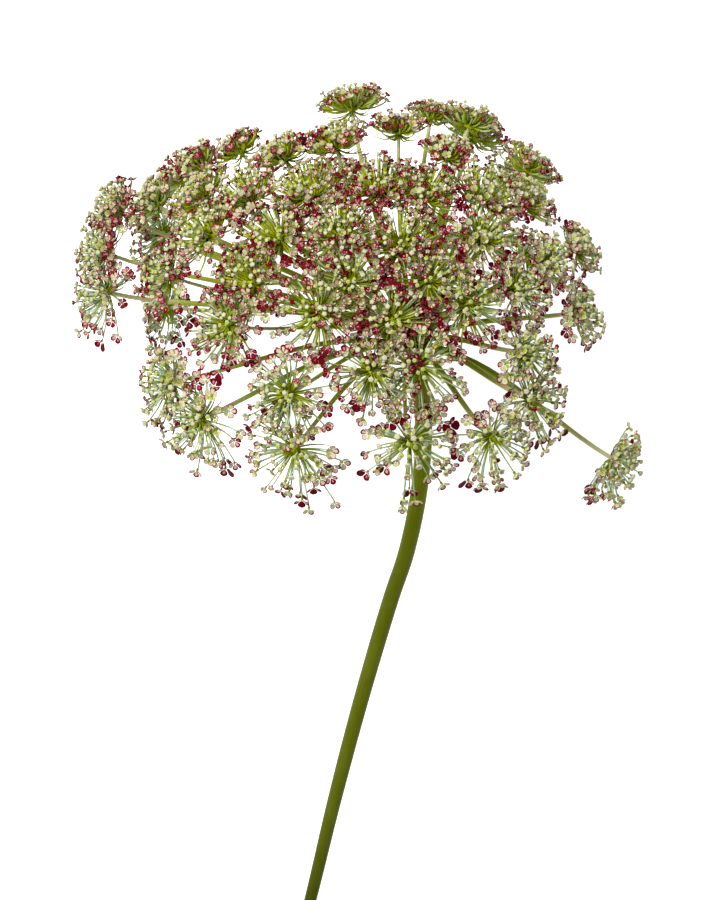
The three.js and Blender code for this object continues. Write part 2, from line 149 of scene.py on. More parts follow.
def between_stops(stops: Sequence[tuple[float, float]], share: float) -> float:
    """Reads a line that runs from stop to stop.

    Args:
        stops: A share and a value each, with the shares in rising order.
        share: Where it is read.

    Returns:
        The value there; before the first stop and after the last one, that stop's value.
    """
    for (start, low), (end, high) in zip(stops, stops[1:]):
        if share < end:
            return between(low, high, limit((share - start) / (end - start)))
    return stops[-1][1]


def once_each(items: Iterable[Item]) -> list[Item]:
    """Returns the items without repeats, in the order in which they first come, as a set wouldn't."""
    return list(dict.fromkeys(items))


def square_to(direction: Vector, reference: Vector) -> tuple[Vector, Vector]:
    """Finds two directions square to the given one.

    Args:
        direction: A unit vector.
        reference: Where the first direction points, as nearly as it can.

    Returns:
        The first and the second direction, anticlockwise seen from the tip of direction.
    """
    first = reference - direction * reference.dot(direction)
    first = first if first.length > TINY else direction.orthogonal()
    first.normalize()
    return first, direction.cross(first)


def placing(origin: Vector, x: Vector, y: Vector, z: Vector) -> Matrix:
    """Joins a place and three directions into a matrix.

    Args:
        origin: Where it takes the origin.
        x: What it turns the unit X axis into.
        y: What it turns the unit Y axis into.
        z: What it turns the unit Z axis into.

    Returns:
        The matrix.
    """
    matrix = Matrix((x, y, z)).transposed().to_4x4()
    matrix.translation = origin
    return matrix


def on_sight(x: float, y: float, height: float) -> Vector:
    """Returns the point at a height on the line of sight through (x, y) at the node's level."""
    share = (EYE.z - height) / EYE_OVER_NODE
    return Vector((x * share, y * share, height))


# ---- materials ----------------------------------------------------------------------------------


class Signal:
    """A shader node's output, on which Python's operators work by adding Math nodes."""

    def __init__(self, recipe: "Recipe", socket: bpy.types.NodeSocket) -> None:
        """Keeps the output and the recipe that further nodes go into.

        Args:
            recipe: The recipe of the material.
            socket: The node's output.
        """
        self.recipe = recipe
        self.socket = socket

    def _math(self, operation: str, *terms: "Signal | float") -> "Signal":
        """Adds a Math node of the operation on the terms and returns its result."""
        return self.recipe.node("ShaderNodeMath", {"operation": operation}, dict(enumerate(terms)))

    def __add__(self, other: "Signal | float") -> "Signal":
        """Returns self + other."""
        return self._math("ADD", self, other)

    def __radd__(self, other: float) -> "Signal":
        """Returns other + self."""
        return self._math("ADD", other, self)

    def __sub__(self, other: "Signal | float") -> "Signal":
        """Returns self - other."""
        return self._math("SUBTRACT", self, other)

    def __rsub__(self, other: float) -> "Signal":
        """Returns other - self."""
        return self._math("SUBTRACT", other, self)

    def __mul__(self, other: "Signal | float") -> "Signal":
        """Returns self * other."""
        return self._math("MULTIPLY", self, other)

    def __rmul__(self, other: float) -> "Signal":
        """Returns other * self."""
        return self._math("MULTIPLY", other, self)


class Recipe:
    """The nodes of one material, round its Principled shader."""

    def __init__(self, name: str) -> None:
        """Starts a material.

        Args:
            name: The material's name.
        """
        self.material = bpy.data.materials.new(name)
        self.material.use_nodes = True
        self.tree = self.material.node_tree
        self.shader = self.tree.nodes["Principled BSDF"]

    def node(
        self,
        kind: str,
        settings: Mapping[str, object] | None = None,
        inputs: Mapping[str | int, "Signal | float | Colour"] | None = None,
        output: str | int = 0,
    ) -> Signal:
        """Adds a node of any type.

        Args:
            kind: The node's type.
            settings: Its properties by name; "stops" are a ramp's places and colours.
            inputs: What its sockets are set or linked to, by name or number.
            output: The output that is asked for.

        Returns:
            That output.
        """
        made = self.tree.nodes.new(kind)
        for name, value in (settings or {}).items():
            if name == "stops":
                self._set_stops(made.color_ramp.elements, value)
            else:
                setattr(made, name, value)
        self.feed(made, inputs or {})
        return Signal(self, made.outputs[output])

    @staticmethod
    def _set_stops(elements: bpy.types.ColorRampElements, stops: Sequence[tuple[float, Colour]]) -> None:
        """Gives a ramp its stops.

        Args:
            elements: The ramp's elements, of which a new ramp has two.
            stops: Places and colours, from left to right.
        """
        while len(elements) < len(stops):
            elements.new(1.0)
        for element, (position, shade) in zip(elements, stops):
            element.position, element.color = position, shade

    def feed(self, made: bpy.types.Node, inputs: Mapping[str | int, "Signal | float | Colour"]) -> None:
        """Sets or links the sockets of a node.

        Args:
            made: The node.
            inputs: Numbers, colours or signals by the socket's name or number.
        """
        for name, value in inputs.items():
            if isinstance(value, Signal):
                self.tree.links.new(value.socket, made.inputs[name])
            else:
                made.inputs[name].default_value = value

    def attribute(self, name: str, output: str = "Fac") -> Signal:
        """Returns what the mesh's attribute of that name says."""
        return self.node("ShaderNodeAttribute", {"attribute_name": name}, output=output)

    def noise(self, scale: float, detail: float = 2.0, where: Signal | None = None) -> Signal:
        """Adds a noise.

        Args:
            scale: How many features there are to a unit of length.
            detail: How many finer layers it has.
            where: The coordinates it reads; the object's own if none are given.

        Returns:
            Its value, from 0 to 1.
        """
        place = where or self.node("ShaderNodeTexCoord", output="Object")
        return self.node("ShaderNodeTexNoise", {}, {"Vector": place, "Scale": scale, "Detail": detail})

    def ramp(self, factor: Signal, *stops: tuple[float, Colour]) -> Signal:
        """Returns the colour of a ramp with the given stops at the factor."""
        return self.node("ShaderNodeValToRGB", {"stops": stops}, {"Fac": factor}, "Color")

    def tint(
        self, kind: str, factor: Signal | float, first: Signal | Colour, second: Signal | Colour
    ) -> Signal:
        """Joins two colours.

        Args:
            kind: How they are joined, such as MIX or MULTIPLY.
            factor: How much the second one counts.
            first: The colour below.
            second: The colour on top.

        Returns:
            The colour that comes of it.
        """
        settings = {"data_type": "RGBA", "blend_type": kind}
        return self.node("ShaderNodeMix", settings, {0: factor, 6: first, 7: second}, 2)

    def brightness(self, value: Signal) -> Signal:
        """Returns a grey of the given value, as a colour to multiply by."""
        return self.node("ShaderNodeCombineColor", {}, {"Red": value, "Green": value, "Blue": value})

    def bump(self, height: Signal, strength: float, distance: float) -> Signal:
        """Returns the normal of a surface that is raised by height.

        Args:
            height: The height, from 0 to 1.
            strength: How much of it shows.
            distance: The height of 1, in metres.

        Returns:
            The bent normal.
        """
        inputs = {"Height": height, "Strength": strength, "Distance": distance}
        return self.node("ShaderNodeBump", {}, inputs, "Normal")

    def finished(self, **inputs: "Signal | float | Colour") -> bpy.types.Material:
        """Sets the shader's sockets, named with underscores for spaces, and returns the material."""
        self.feed(self.shader, {name.replace("_", " "): value for name, value in inputs.items()})
        return self.material


@dataclass(frozen=True)
class StalkFinish:
    """The skin of the stem and its rays: olive, streaked along its length, paler out along the rays, with
    grey streaks of wax bloom and painted sheen, and painted light along the stem from its tone.
    """

    olive: Colour = colour(86, 94, 0)
    sunlit: Colour = colour(116, 128, 4)
    yellow: Colour = colour(142, 148, 46)
    pale_tip: Colour = colour(188, 186, 140)
    # Greyish streaks: partly real wax bloom, partly a painted sheen.
    wax_and_sheen: Colour = colour(124, 140, 88)
    wax_and_sheen_from: float = 0.72
    wax_and_sheen_share: float = 0.1
    streak_scale: float = 5.0
    streaking: float = 0.28
    blotch_scale: float = 160.0
    blotching: float = 0.2
    shade: float = 0.86
    roughness: float = 0.46
    groove_strength: float = 0.5
    groove_depth: float = 0.00006
    sheen: float = 0.05

    def material(self) -> bpy.types.Material:
        """Sets up the material.

        Returns:
            The material.
        """
        recipe = Recipe("stalk_skin")
        around = recipe.attribute(AROUND, "Vector")
        streaks = recipe.noise(self.streak_scale, 3.0, around)
        blotches = recipe.noise(self.blotch_scale)
        skin = recipe.ramp(
            recipe.attribute(ALONG) + (blotches - 0.5) * self.blotching,
            (0.0, self.olive), (0.45, self.sunlit), (0.72, self.yellow), (0.92, self.pale_tip),
        )
        # Mixes in the grey streaks of wax bloom and painted sheen.
        waxy_and_sheen = recipe.tint("MIX", (streaks + blotches - self.wax_and_sheen_from) * self.wax_and_sheen_share, skin, self.wax_and_sheen)
        # The tone is painted light: it makes the stem lighter where the heads shade it and darker towards
        # the cut end.
        shade = recipe.brightness(recipe.attribute(TONE) + streaks * self.streaking + self.shade)
        return recipe.finished(
            Base_Color=recipe.tint("MULTIPLY", 1.0, waxy_and_sheen, shade),
            Roughness=self.roughness + (blotches - 0.5) * self.blotching,
            Normal=recipe.bump(streaks, self.groove_strength, self.groove_depth),
            Specular_IOR_Level=self.sheen,
        )


@dataclass(frozen=True)
class PithFinish:
    """The cut end of the stem: pale pith with small cells."""

    pale: Colour = colour(214, 216, 164)
    deep: Colour = colour(150, 158, 84)
    cell_scale: float = 3200.0
    cell_strength: float = 0.6
    cell_depth: float = 0.00005
    roughness: float = 0.8

    def material(self) -> bpy.types.Material:
        """Sets up the material.

        Returns:
            The material.
        """
        recipe = Recipe("cut_pith")
        cells = recipe.noise(self.cell_scale)
        return recipe.finished(
            Base_Color=recipe.ramp(cells, (0.3, self.deep), (0.6, self.pale)),
            Roughness=self.roughness,
            Normal=recipe.bump(cells, self.cell_strength, self.cell_depth),
        )


@dataclass(frozen=True)
class GreenFinish:
    """The green of a head: lime hub, pale pedicels with a cool cast that is partly a painted highlight,
    olive ovaries and bractlets.
    """

    hub: Colour = colour(170, 182, 8)
    foot: Colour = colour(158, 168, 6)
    pedicel: Colour = colour(164, 172, 4)
    # Pale cool green: partly the pedicels' own colour, partly a painted highlight of their lit sides.
    cool_green_and_highlight: Colour = colour(182, 206, 170)
    ovary: Colour = colour(118, 128, 0)
    bractlet: Colour = colour(124, 138, 6)
    mottle_scale: float = 900.0
    mottle_shift: float = 0.06
    mottling: float = 0.3
    shade: float = 0.92
    mottle_strength: float = 0.3
    mottle_depth: float = 0.00004
    roughness: float = 0.5
    roughness_spread: float = 0.2
    sheen: float = 0.06

    def material(self) -> bpy.types.Material:
        """Sets up the material.

        Returns:
            The material.
        """
        recipe = Recipe("head_green")
        mottle = recipe.noise(self.mottle_scale)
        along = recipe.attribute(ALONG) + (mottle - 0.5) * self.mottle_shift
        ends = ((0.78, self.ovary), (0.9, self.ovary), (1.0, self.bractlet))
        warm = recipe.ramp(
            along, (0.0, self.hub), (0.14, self.foot), (0.4, self.pedicel), (0.66, self.pedicel), *ends)
        # The pale cool ramp, partly a painted highlight, mixed in by each pedicel's tone.
        cool_green_and_highlight = recipe.ramp(
            along, (0.0, self.hub), (0.26, self.foot), (0.5, self.cool_green_and_highlight), (0.68, self.cool_green_and_highlight), *ends)
        green = recipe.tint("MIX", recipe.attribute(TONE), warm, cool_green_and_highlight)
        shade = recipe.brightness(self.shade + (mottle - 0.5) * self.mottling)
        return recipe.finished(
            Base_Color=recipe.tint("MULTIPLY", 1.0, green, shade),
            Roughness=self.roughness + (mottle - 0.5) * self.roughness_spread,
            Normal=recipe.bump(mottle, self.mottle_strength, self.mottle_depth),
            Specular_IOR_Level=self.sheen,
        )


@dataclass(frozen=True)
class PetalFinish:
    """Petals and buds: greenish cream at the base, pink, crimson, then burgundy at a ripe tip."""

    furrow: Colour = colour(132, 140, 20)
    base: Colour = colour(176, 180, 84)
    cream: Colour = colour(187, 189, 155)
    blush: Colour = colour(190, 114, 122)
    crimson: Colour = colour(140, 0, 40)
    burgundy: Colour = colour(90, 0, 14)
    rim_sharpness: float = 1.8
    rim_share: float = 0.5
    ripe_share: float = 0.54
    vein_scale: float = 1600.0
    veining: float = 0.16
    vein_strength: float = 0.35
    vein_depth: float = 0.00005
    roughness: float = 0.55
    roughness_spread: float = 0.3
    sheen: float = 0.05

    def material(self) -> bpy.types.Material:
        """Sets up the material.

        Returns:
            The material.
        """
        recipe = Recipe("petal_skin")
        veins = recipe.noise(self.vein_scale, 3.0)
        rim = recipe.node("ShaderNodeMath", {"operation": "POWER"}, {
            0: recipe.attribute(ALONG), 1: self.rim_sharpness})
        ripeness = (
            rim * self.rim_share + recipe.attribute(TONE) * self.ripe_share + (veins - 0.5) * self.veining
        )
        skin = recipe.ramp(
            ripeness,
            (0.0, self.furrow), (0.08, self.base), (0.22, self.cream), (0.42, self.cream),
            (0.5, self.blush), (0.59, self.crimson), (0.82, self.burgundy),
        )
        return recipe.finished(
            Base_Color=skin,
            Roughness=self.roughness + (veins - 0.5) * self.roughness_spread,
            Normal=recipe.bump(veins, self.vein_strength, self.vein_depth),
            Specular_IOR_Level=self.sheen,
        )


@dataclass(frozen=True)
class PaperFinish:
    """The white paper that the flower lies on."""

    white: Colour = (0.86, 0.86, 0.86, 1.0)
    glow: float = 0.78
    grain_scale: float = 900.0
    grain: float = 0.02
    shade: float = 0.99
    roughness: float = 0.9

    def material(self) -> bpy.types.Material:
        """Sets up the material.

        Returns:
            The material.
        """
        recipe = Recipe("white_paper")
        shade = recipe.brightness(self.shade + recipe.noise(self.grain_scale) * self.grain)
        return recipe.finished(
            Base_Color=recipe.tint("MULTIPLY", 1.0, self.white, shade),
            Roughness=self.roughness,
            Emission_Color=self.white,
            Emission_Strength=self.glow,
        )


# ---- shaping ------------------------------------------------------------------------------------


class Mould:
    """A mesh in the making, in millimetres, with the attributes that its finish reads."""

    def __init__(self) -> None:
        """Starts with an empty mesh."""
        self.bm = bmesh.new()
        self.along = self.bm.verts.layers.float.new(ALONG)
        self.tone = self.bm.verts.layers.float.new(TONE)
        self.around = self.bm.verts.layers.float_vector.new(AROUND)

    def sweep(
        self, rings: Sequence[Matrix], along: Sequence[float], sides: int, rib: float = 0.0
    ) -> list[bmesh.types.BMVert]:
        """Extrudes a circle from ring to ring and closes both ends.

        Args:
            rings: For each ring, the matrix that takes the unit circle to it.
            along: How far along the part each ring is.
            sides: Corners of the circle.
            rib: How much every other corner stands out, as a share of the radius.

        Returns:
            The vertices that were made.
        """
        bm = self.bm
        first = bmesh.ops.create_circle(bm, segments=sides, radius=1.0)["verts"]
        for corner in first[::2]:
            corner.co *= 1 + rib
        ring, made = first, list(first)
        edges = once_each(edge for vert in ring for edge in vert.link_edges)
        bmesh.ops.transform(bm, matrix=rings[0], verts=ring)
        self._trace(ring, rings[0], along[0], 0.0)
        length = 0.0
        for before, after, share in zip(rings, rings[1:], along[1:]):
            extruded = bmesh.ops.extrude_edge_only(bm, edges=edges)["geom"]
            ring = [item for item in extruded if isinstance(item, bmesh.types.BMVert)]
            edges = [item for item in extruded if isinstance(item, bmesh.types.BMEdge)]
            bmesh.ops.transform(bm, matrix=after @ before.inverted(), verts=ring)
            length += (after.translation - before.translation).length
            self._trace(ring, after, share, length)
            made += ring
        open_edges = once_each(edge for vert in made for edge in vert.link_edges if edge.is_boundary)
        bmesh.ops.holes_fill(bm, edges=open_edges, sides=0)
        faces = once_each(face for vert in made for face in vert.link_faces)
        bmesh.ops.recalc_face_normals(bm, faces=faces)
        return made

    def _trace(self, ring: Sequence[bmesh.types.BMVert], place: Matrix, along: float, length: float) -> None:
        """Writes a ring's attributes.

        Args:
            ring: Its corners.
            place: The matrix that took the unit circle to it.
            along: How far along the part it is, as a share.
            length: How far along the part it is, in millimetres.
        """
        back = place.inverted()
        for vert in ring:
            corner = back @ vert.co
            vert[self.along] = along
            vert[self.around] = (corner.x, corner.y, length * STREAK_STRETCH)

    def smooth_ball(
        self, place: Matrix, segments: int, rings: int, low: float, high: float, finish: int
    ) -> list[bmesh.types.BMVert]:
        """Adds a ball.

        Args:
            place: The matrix that takes the unit ball to its place.
            segments: Faces round it.
            rings: Faces from pole to pole.
            low: How far along its part the ball's -Z end is.
            high: How far along its part the ball's +Z end is.
            finish: The number of its finish.

        Returns:
            The vertices that were made.
        """
        ball = bmesh.ops.create_uvsphere(self.bm, u_segments=segments, v_segments=rings, radius=1.0)
        for vert in ball["verts"]:
            vert[self.along] = between(low, high, (vert.co.z + 1) / 2)
        bmesh.ops.transform(self.bm, matrix=place, verts=ball["verts"])
        for face in once_each(face for vert in ball["verts"] for face in vert.link_faces):
            face.material_index = finish
        return ball["verts"]

    def press(self, cast: bpy.types.Mesh, place: Matrix, tone: float) -> None:
        """Adds a copy of a finished shape.

        Args:
            cast: The shape.
            place: The matrix that takes it to its place.
            tone: The tone that all of the copy gets.
        """
        copy = cast.copy()
        copy.transform(place)
        copy.attributes[TONE].data.foreach_set("value", [tone] * len(copy.vertices))
        self.bm.from_mesh(copy)
        bpy.data.meshes.remove(copy)

    def settle(self) -> None:
        """Presses flat what would be below the surface that the flower lies on."""
        for vert in self.bm.verts:
            vert.co.z = max(vert.co.z, 0.0)

    def _rank(self, face: bmesh.types.BMFace) -> int:
        """Works out a face's own number from the numbers of its corners.

        Args:
            face: The face.

        Returns:
            The number, which no other face has.
        """
        first, second, third = sorted(vert.index for vert in face.verts)[:3]
        count = len(self.bm.verts)
        return (first * count + second) * count + third

    def cast(self, name: str) -> bpy.types.Mesh:
        """Turns the shape into a mesh, after which nothing can be added to it.

        Args:
            name: The mesh's name.

        Returns:
            The mesh, shaded smooth.
        """
        # An extrusion makes its faces in an order that differs from run to run.
        self.bm.verts.index_update()
        self.bm.faces.sort(key=self._rank)
        mesh = bpy.data.meshes.new(name)
        self.bm.to_mesh(mesh)
        self.bm.free()
        mesh.shade_smooth()
        return mesh


def dressed_piece(
    name: str, mould: Mould, finishes: Sequence[bpy.types.Material], node: str, edge: float
) -> bpy.types.Object:
    """Turns a finished shape into a piece that stands for a node of the frame.

    Args:
        name: The piece's name.
        mould: The shape, in millimetres.
        finishes: The materials of its faces, by number.
        node: The node of the frame that the piece stands for.
        edge: The angle between faces past which their edge is sharp.

    Returns:
        The piece.
    """
    mesh = mould.cast(name)
    mesh.set_sharp_from_angle(angle=edge)
    mesh.transform(TO_ROW)
    for finish in finishes:
        mesh.materials.append(finish)
    piece = bpy.data.objects.new(name, mesh)
    bpy.context.scene.collection.objects.link(piece)
    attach(piece, "root")
    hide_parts(node)
    mesh.calc_loop_triangles()
    log.info("%s: %d triangles, stands for %s", name, len(mesh.loop_triangles), node)
    return piece


def rings_along(points: Sequence[Vector], radii: Sequence[float]) -> list[Matrix]:
    """Lays rings along a line without twisting them.

    Args:
        points: The ring's middles.
        radii: Their radii.

    Returns:
        For each ring, the matrix that takes the unit circle to it.
    """
    ends = [points[0], *points, points[-1]]
    tangents = [(after - before).normalized() for before, after in zip(ends, ends[2:])]
    normal = square_to(tangents[0], UP)[0]
    rings = []
    for point, tangent, radius in zip(points, tangents, radii):
        normal, side = square_to(tangent, normal)
        rings.append(placing(point, normal * radius, side * radius, tangent))
    return rings


# ---- places -------------------------------------------------------------------------------------


@dataclass(frozen=True)
class StemRoute:
    """The stem's middle line: a centripetal Catmull-Rom curve through its places."""

    places: Sequence[tuple[float, float, float]] = STEM_PLACES

    def points(self, steps_between: int) -> list[Vector]:
        """Samples the curve.

        Args:
            steps_between: Steps from one place to the next.

        Returns:
            The points, from the cut end to the node.
        """
        through = [on_sight(*place) for place in self.places]
        before, after = 2 * through[0] - through[1], 2 * through[-1] - through[-2]
        chain = [before, *through, after]
        samples = [through[0]]
        for p, q, r, s in zip(chain, chain[1:], chain[2:], chain[3:]):
            samples += [self._on_span(p, q, r, s, (k + 1) / steps_between) for k in range(steps_between)]
        return samples

    @staticmethod
    def _on_span(p: Vector, q: Vector, r: Vector, s: Vector, share: float) -> Vector:
        """Finds a point of the curve between two of its places.

        Args:
            p: The place before the span.
            q: The place where the span starts.
            r: The place where it ends.
            s: The place after it.
            share: How far along the span the point is.

        Returns:
            The point.
        """
        first, middle, last = (math.sqrt((b - a).length) for a, b in ((p, q), (q, r), (r, s)))
        leave = ((q - p) / first - (r - p) / (first + middle) + (r - q) / middle) * middle
        arrive = ((r - q) / middle - (s - q) / (middle + last) + (s - r) / last) * middle
        square = 3 * (r - q) - 2 * leave - arrive
        cube = 2 * (q - r) + leave + arrive
        return q + leave * share + square * share**2 + cube * share**3


@dataclass(frozen=True)
class Head:
    """The place of one umbellet: its hub, the way it faces, its size and how near the crown it is."""

    number: int
    hub: Vector
    facing: Vector
    reach: float
    crown_share: float
    ripeness: float
    coolness: float

    @property
    def node(self) -> str:
        """The name of the frame's node that it stands for."""
        return f"umbellet_{self.number:02d}"


@dataclass(frozen=True)
class Dome:
    """The flower head's overall shape: a dome round an axis that rises and leans to the left.

    Lengths are in millimetres. Reach is how far a head's florets stand from its hub. A head nods where it
    faces lower than the dome does, ripeness makes its florets darker, and coolness makes its pedicels paler
    and bluer, partly as a painted highlight.
    """

    # The surface that the hubs lie on.
    middle: Vector = Vector((-1.4, 24.6, 47)).freeze()
    radius: float = 49.0
    depth: float = 42.0
    rise: float = math.radians(30)
    lean: float = math.radians(8)
    # The side that the flower lies on: each row's angle from the axis and how many heads it has.
    under_rows: Sequence[tuple[float, int]] = ((50, 2), (72, 3), (96, 5))
    under_half_turn: float = math.radians(52)
    settling_below: float = 15.0
    settled_height: float = 6.2
    under_size: float = 0.9
    # The heads' sizes and the ways they face.
    crown_reach: float = 8.9
    rim_reach: float = 8.0
    reach_spread: float = 0.3
    steepest: float = -0.35
    edge_on: float = 0.0
    rim_nod: float = 0.8
    crown_nod: float = 0.4
    behind_from: float = 36.0
    behind_span: float = 10.0
    left_from: float = 34.0
    left_span: float = 12.0
    # How ripe their florets are, and how cool their greens are, partly as a painted highlight.
    ripeness: float = 0.18
    crown_ripeness: float = 0.28
    left_ripeness: float = 0.13
    right_paleness: float = 0.2
    front_paleness: float = 0.1
    front_below: float = 26.0
    front_span: float = 14.0
    ripe_turn: float = 0.3
    ripe_left_from: float = 0.3
    ripeness_spread: float = 0.1
    coolness: float = 0.8
    turned_coolness: float = 0.15
    cool_left_from: float = 0.5

    @property
    def axis(self) -> Vector:
        """The way the whole flower head faces."""
        level = math.cos(self.rise)
        return Vector((-math.sin(self.lean) * level, math.cos(self.lean) * level, math.sin(self.rise)))

    def _product(self, p: Vector, q: Vector) -> float:
        """Returns the dome's own measure of two vectors: 1 for a point of the dome with itself."""
        along = p.dot(self.axis) * q.dot(self.axis)
        return (p.dot(q) - along) / self.radius**2 + along / self.depth**2

    def _hub_on_sight(self, x: float, y: float, far_share: float) -> Vector:
        """Finds where a line of sight meets the dome.

        Args:
            x: Where the line crosses the node's level, to the right.
            y: Where it crosses that level, along the stem.
            far_share: 0 for the dome's near side and 1 for its far side.

        Returns:
            The point; the nearest one on the line if it misses the dome.
        """
        sight = Vector((x, y, NODE_HEIGHT)) - EYE
        start = EYE - self.middle
        a, b = self._product(sight, sight), self._product(start, sight)
        half_span = math.sqrt(max(b * b - a * (self._product(start, start) - 1), 0.0))
        return EYE + sight * ((half_span * (2 * far_share - 1) - b) / a)

    def _hubs_under(self) -> Iterator[Vector]:
        """Works out the hubs on the side that lies on the surface, row by row.

        Yields:
            Each hub's place.
        """
        down, sideways = square_to(self.axis, -UP)
        for angle, count in self.under_rows:
            polar = math.radians(angle)
            for k in range(count):
                turn = self.under_half_turn * (2 * k / (count - 1) - 1)
                outward = down * math.cos(turn) + sideways * math.sin(turn)
                hub = self.middle + self.axis * (self.depth * math.cos(polar))
                hub = hub + outward * (self.radius * math.sin(polar))
                if hub.z < self.settling_below:
                    hub.z = self.settled_height
                yield hub

    def heads(self, node: Vector, draw: random.Random) -> list[Head]:
        """Places all heads on the dome.

        Args:
            node: The point that all rays leave from.
            draw: The seeded draws.

        Returns:
            The heads, in the order of the frame's umbellets.
        """
        places = [(self._hub_on_sight(*seen), 1.0, size) for *seen, size in SEEN_HEADS]
        places += [(hub, 0.0, self.under_size) for hub in self._hubs_under()]
        return [self._head(number, *place, node, draw) for number, place in enumerate(places, 1)]

    def _facing(self, hub: Vector, nod: float, node: Vector, crown_share: float) -> Vector:
        """Works out the way a head faces: between square to the dome and away from the node.

        Args:
            hub: Where all its pedicels start.
            nod: How much it takes part in the nodding, from 0 to 1.
            node: The point that all rays leave from.
            crown_share: How near the dome's top it is, from 0 to 1.

        Returns:
            The direction, whose length is near 1 but no longer 1 where the head nods.
        """
        outward = hub - self.middle
        along = self.axis * outward.dot(self.axis)
        normal = ((outward - along) / self.radius**2 + along / self.depth**2).normalized()
        facing = (normal + (hub - node).normalized()).normalized()
        lowest = self.edge_on if nod else self.steepest
        behind = limit((hub.y - self.behind_from) / self.behind_span)
        left = limit((-hub.x - self.left_from) / self.left_span)
        nod *= between(self.rim_nod, self.crown_nod, crown_share) * (behind * (1 - left) - left)
        facing.z = max(facing.z - nod * (1 - facing.z**2), lowest)
        return facing

    def _ripeness(self, hub: Vector, facing: Vector, crown_share: float) -> float:
        """Works out how ripe a head is: more so at the crown and on the left, less so in front.

        Args:
            hub: Where all its pedicels start.
            facing: The way it faces.
            crown_share: How near the dome's top it is, from 0 to 1.

        Returns:
            The ripeness, which isn't yet held between 0 and 1.
        """
        right_share = hub.x / self.radius
        left_share = limit(-right_share - self.ripe_left_from)
        ripeness = self.ripeness + self.crown_ripeness * crown_share * limit(facing.z + self.ripe_turn)
        ripeness += self.left_ripeness * left_share - self.right_paleness * limit(right_share)
        return ripeness - self.front_paleness * limit((self.front_below - hub.y) / self.front_span)

    def _head(
        self, number: int, hub: Vector, nod: float, size: float, node: Vector, draw: random.Random
    ) -> Head:
        """Works out one head.

        Args:
            number: Its place in the order of the frame's umbellets.
            hub: Where all its pedicels start.
            nod: How much it takes part in the nodding, from 0 to 1.
            size: How large it is beside the usual one.
            node: The point that all rays leave from.
            draw: The seeded draws.

        Returns:
            The head.
        """
        crown_share = limit((hub - self.middle).dot(self.axis) / self.depth)
        facing = self._facing(hub, nod, node, crown_share)
        reach = between(self.rim_reach, self.crown_reach, crown_share) * size
        reach += draw.uniform(-1, 1) * self.reach_spread
        ripeness = self._ripeness(hub, facing, crown_share) + draw.uniform(-1, 1) * self.ripeness_spread
        # Coolness is partly a painted highlight: paler pedicels at the rim, on heads turned sideways and on
        # the left.
        left_share = limit(-hub.x / self.radius - self.cool_left_from)
        coolness = self.coolness - crown_share + self.turned_coolness * (1 - facing.z) + left_share
        return Head(number, hub, facing.normalized(), reach, crown_share, limit(ripeness), coolness)


class Crowd:
    """Remembers where florets stand, so that no two take the same place."""

    CELL = 3.0  # millimetres, more than the reach of two florets
    ALL_FREE = 9.0  # room where there is no neighbour

    def __init__(self) -> None:
        """Starts empty."""
        self.cells: dict[tuple[int, ...], list[tuple[Vector, float]]] = {}

    def _cell(self, point: Vector) -> tuple[int, ...]:
        """Returns the number of the cell that holds the point."""
        return tuple(math.floor(value / self.CELL) for value in point)

    def add(self, point: Vector, radius: float) -> None:
        """Puts a ball in its place."""
        self.cells.setdefault(self._cell(point), []).append((point, radius))

    def room(self, point: Vector, radius: float) -> float:
        """Measures how free a place is.

        Args:
            point: The place.
            radius: The radius of what wants to stand there.

        Returns:
            The least distance to a neighbour, as a share of the sum of both radii.
        """
        x, y, z = self._cell(point)
        near = (
            neighbour
            for i in range(x - 1, x + 2) for j in range(y - 1, y + 2) for k in range(z - 1, z + 2)
            for neighbour in self.cells.get((i, j, k), ())
        )
        return min(((point - other).length / (radius + size) for other, size in near), default=self.ALL_FREE)


# ---- the stem and its rays ----------------------------------------------------------------------


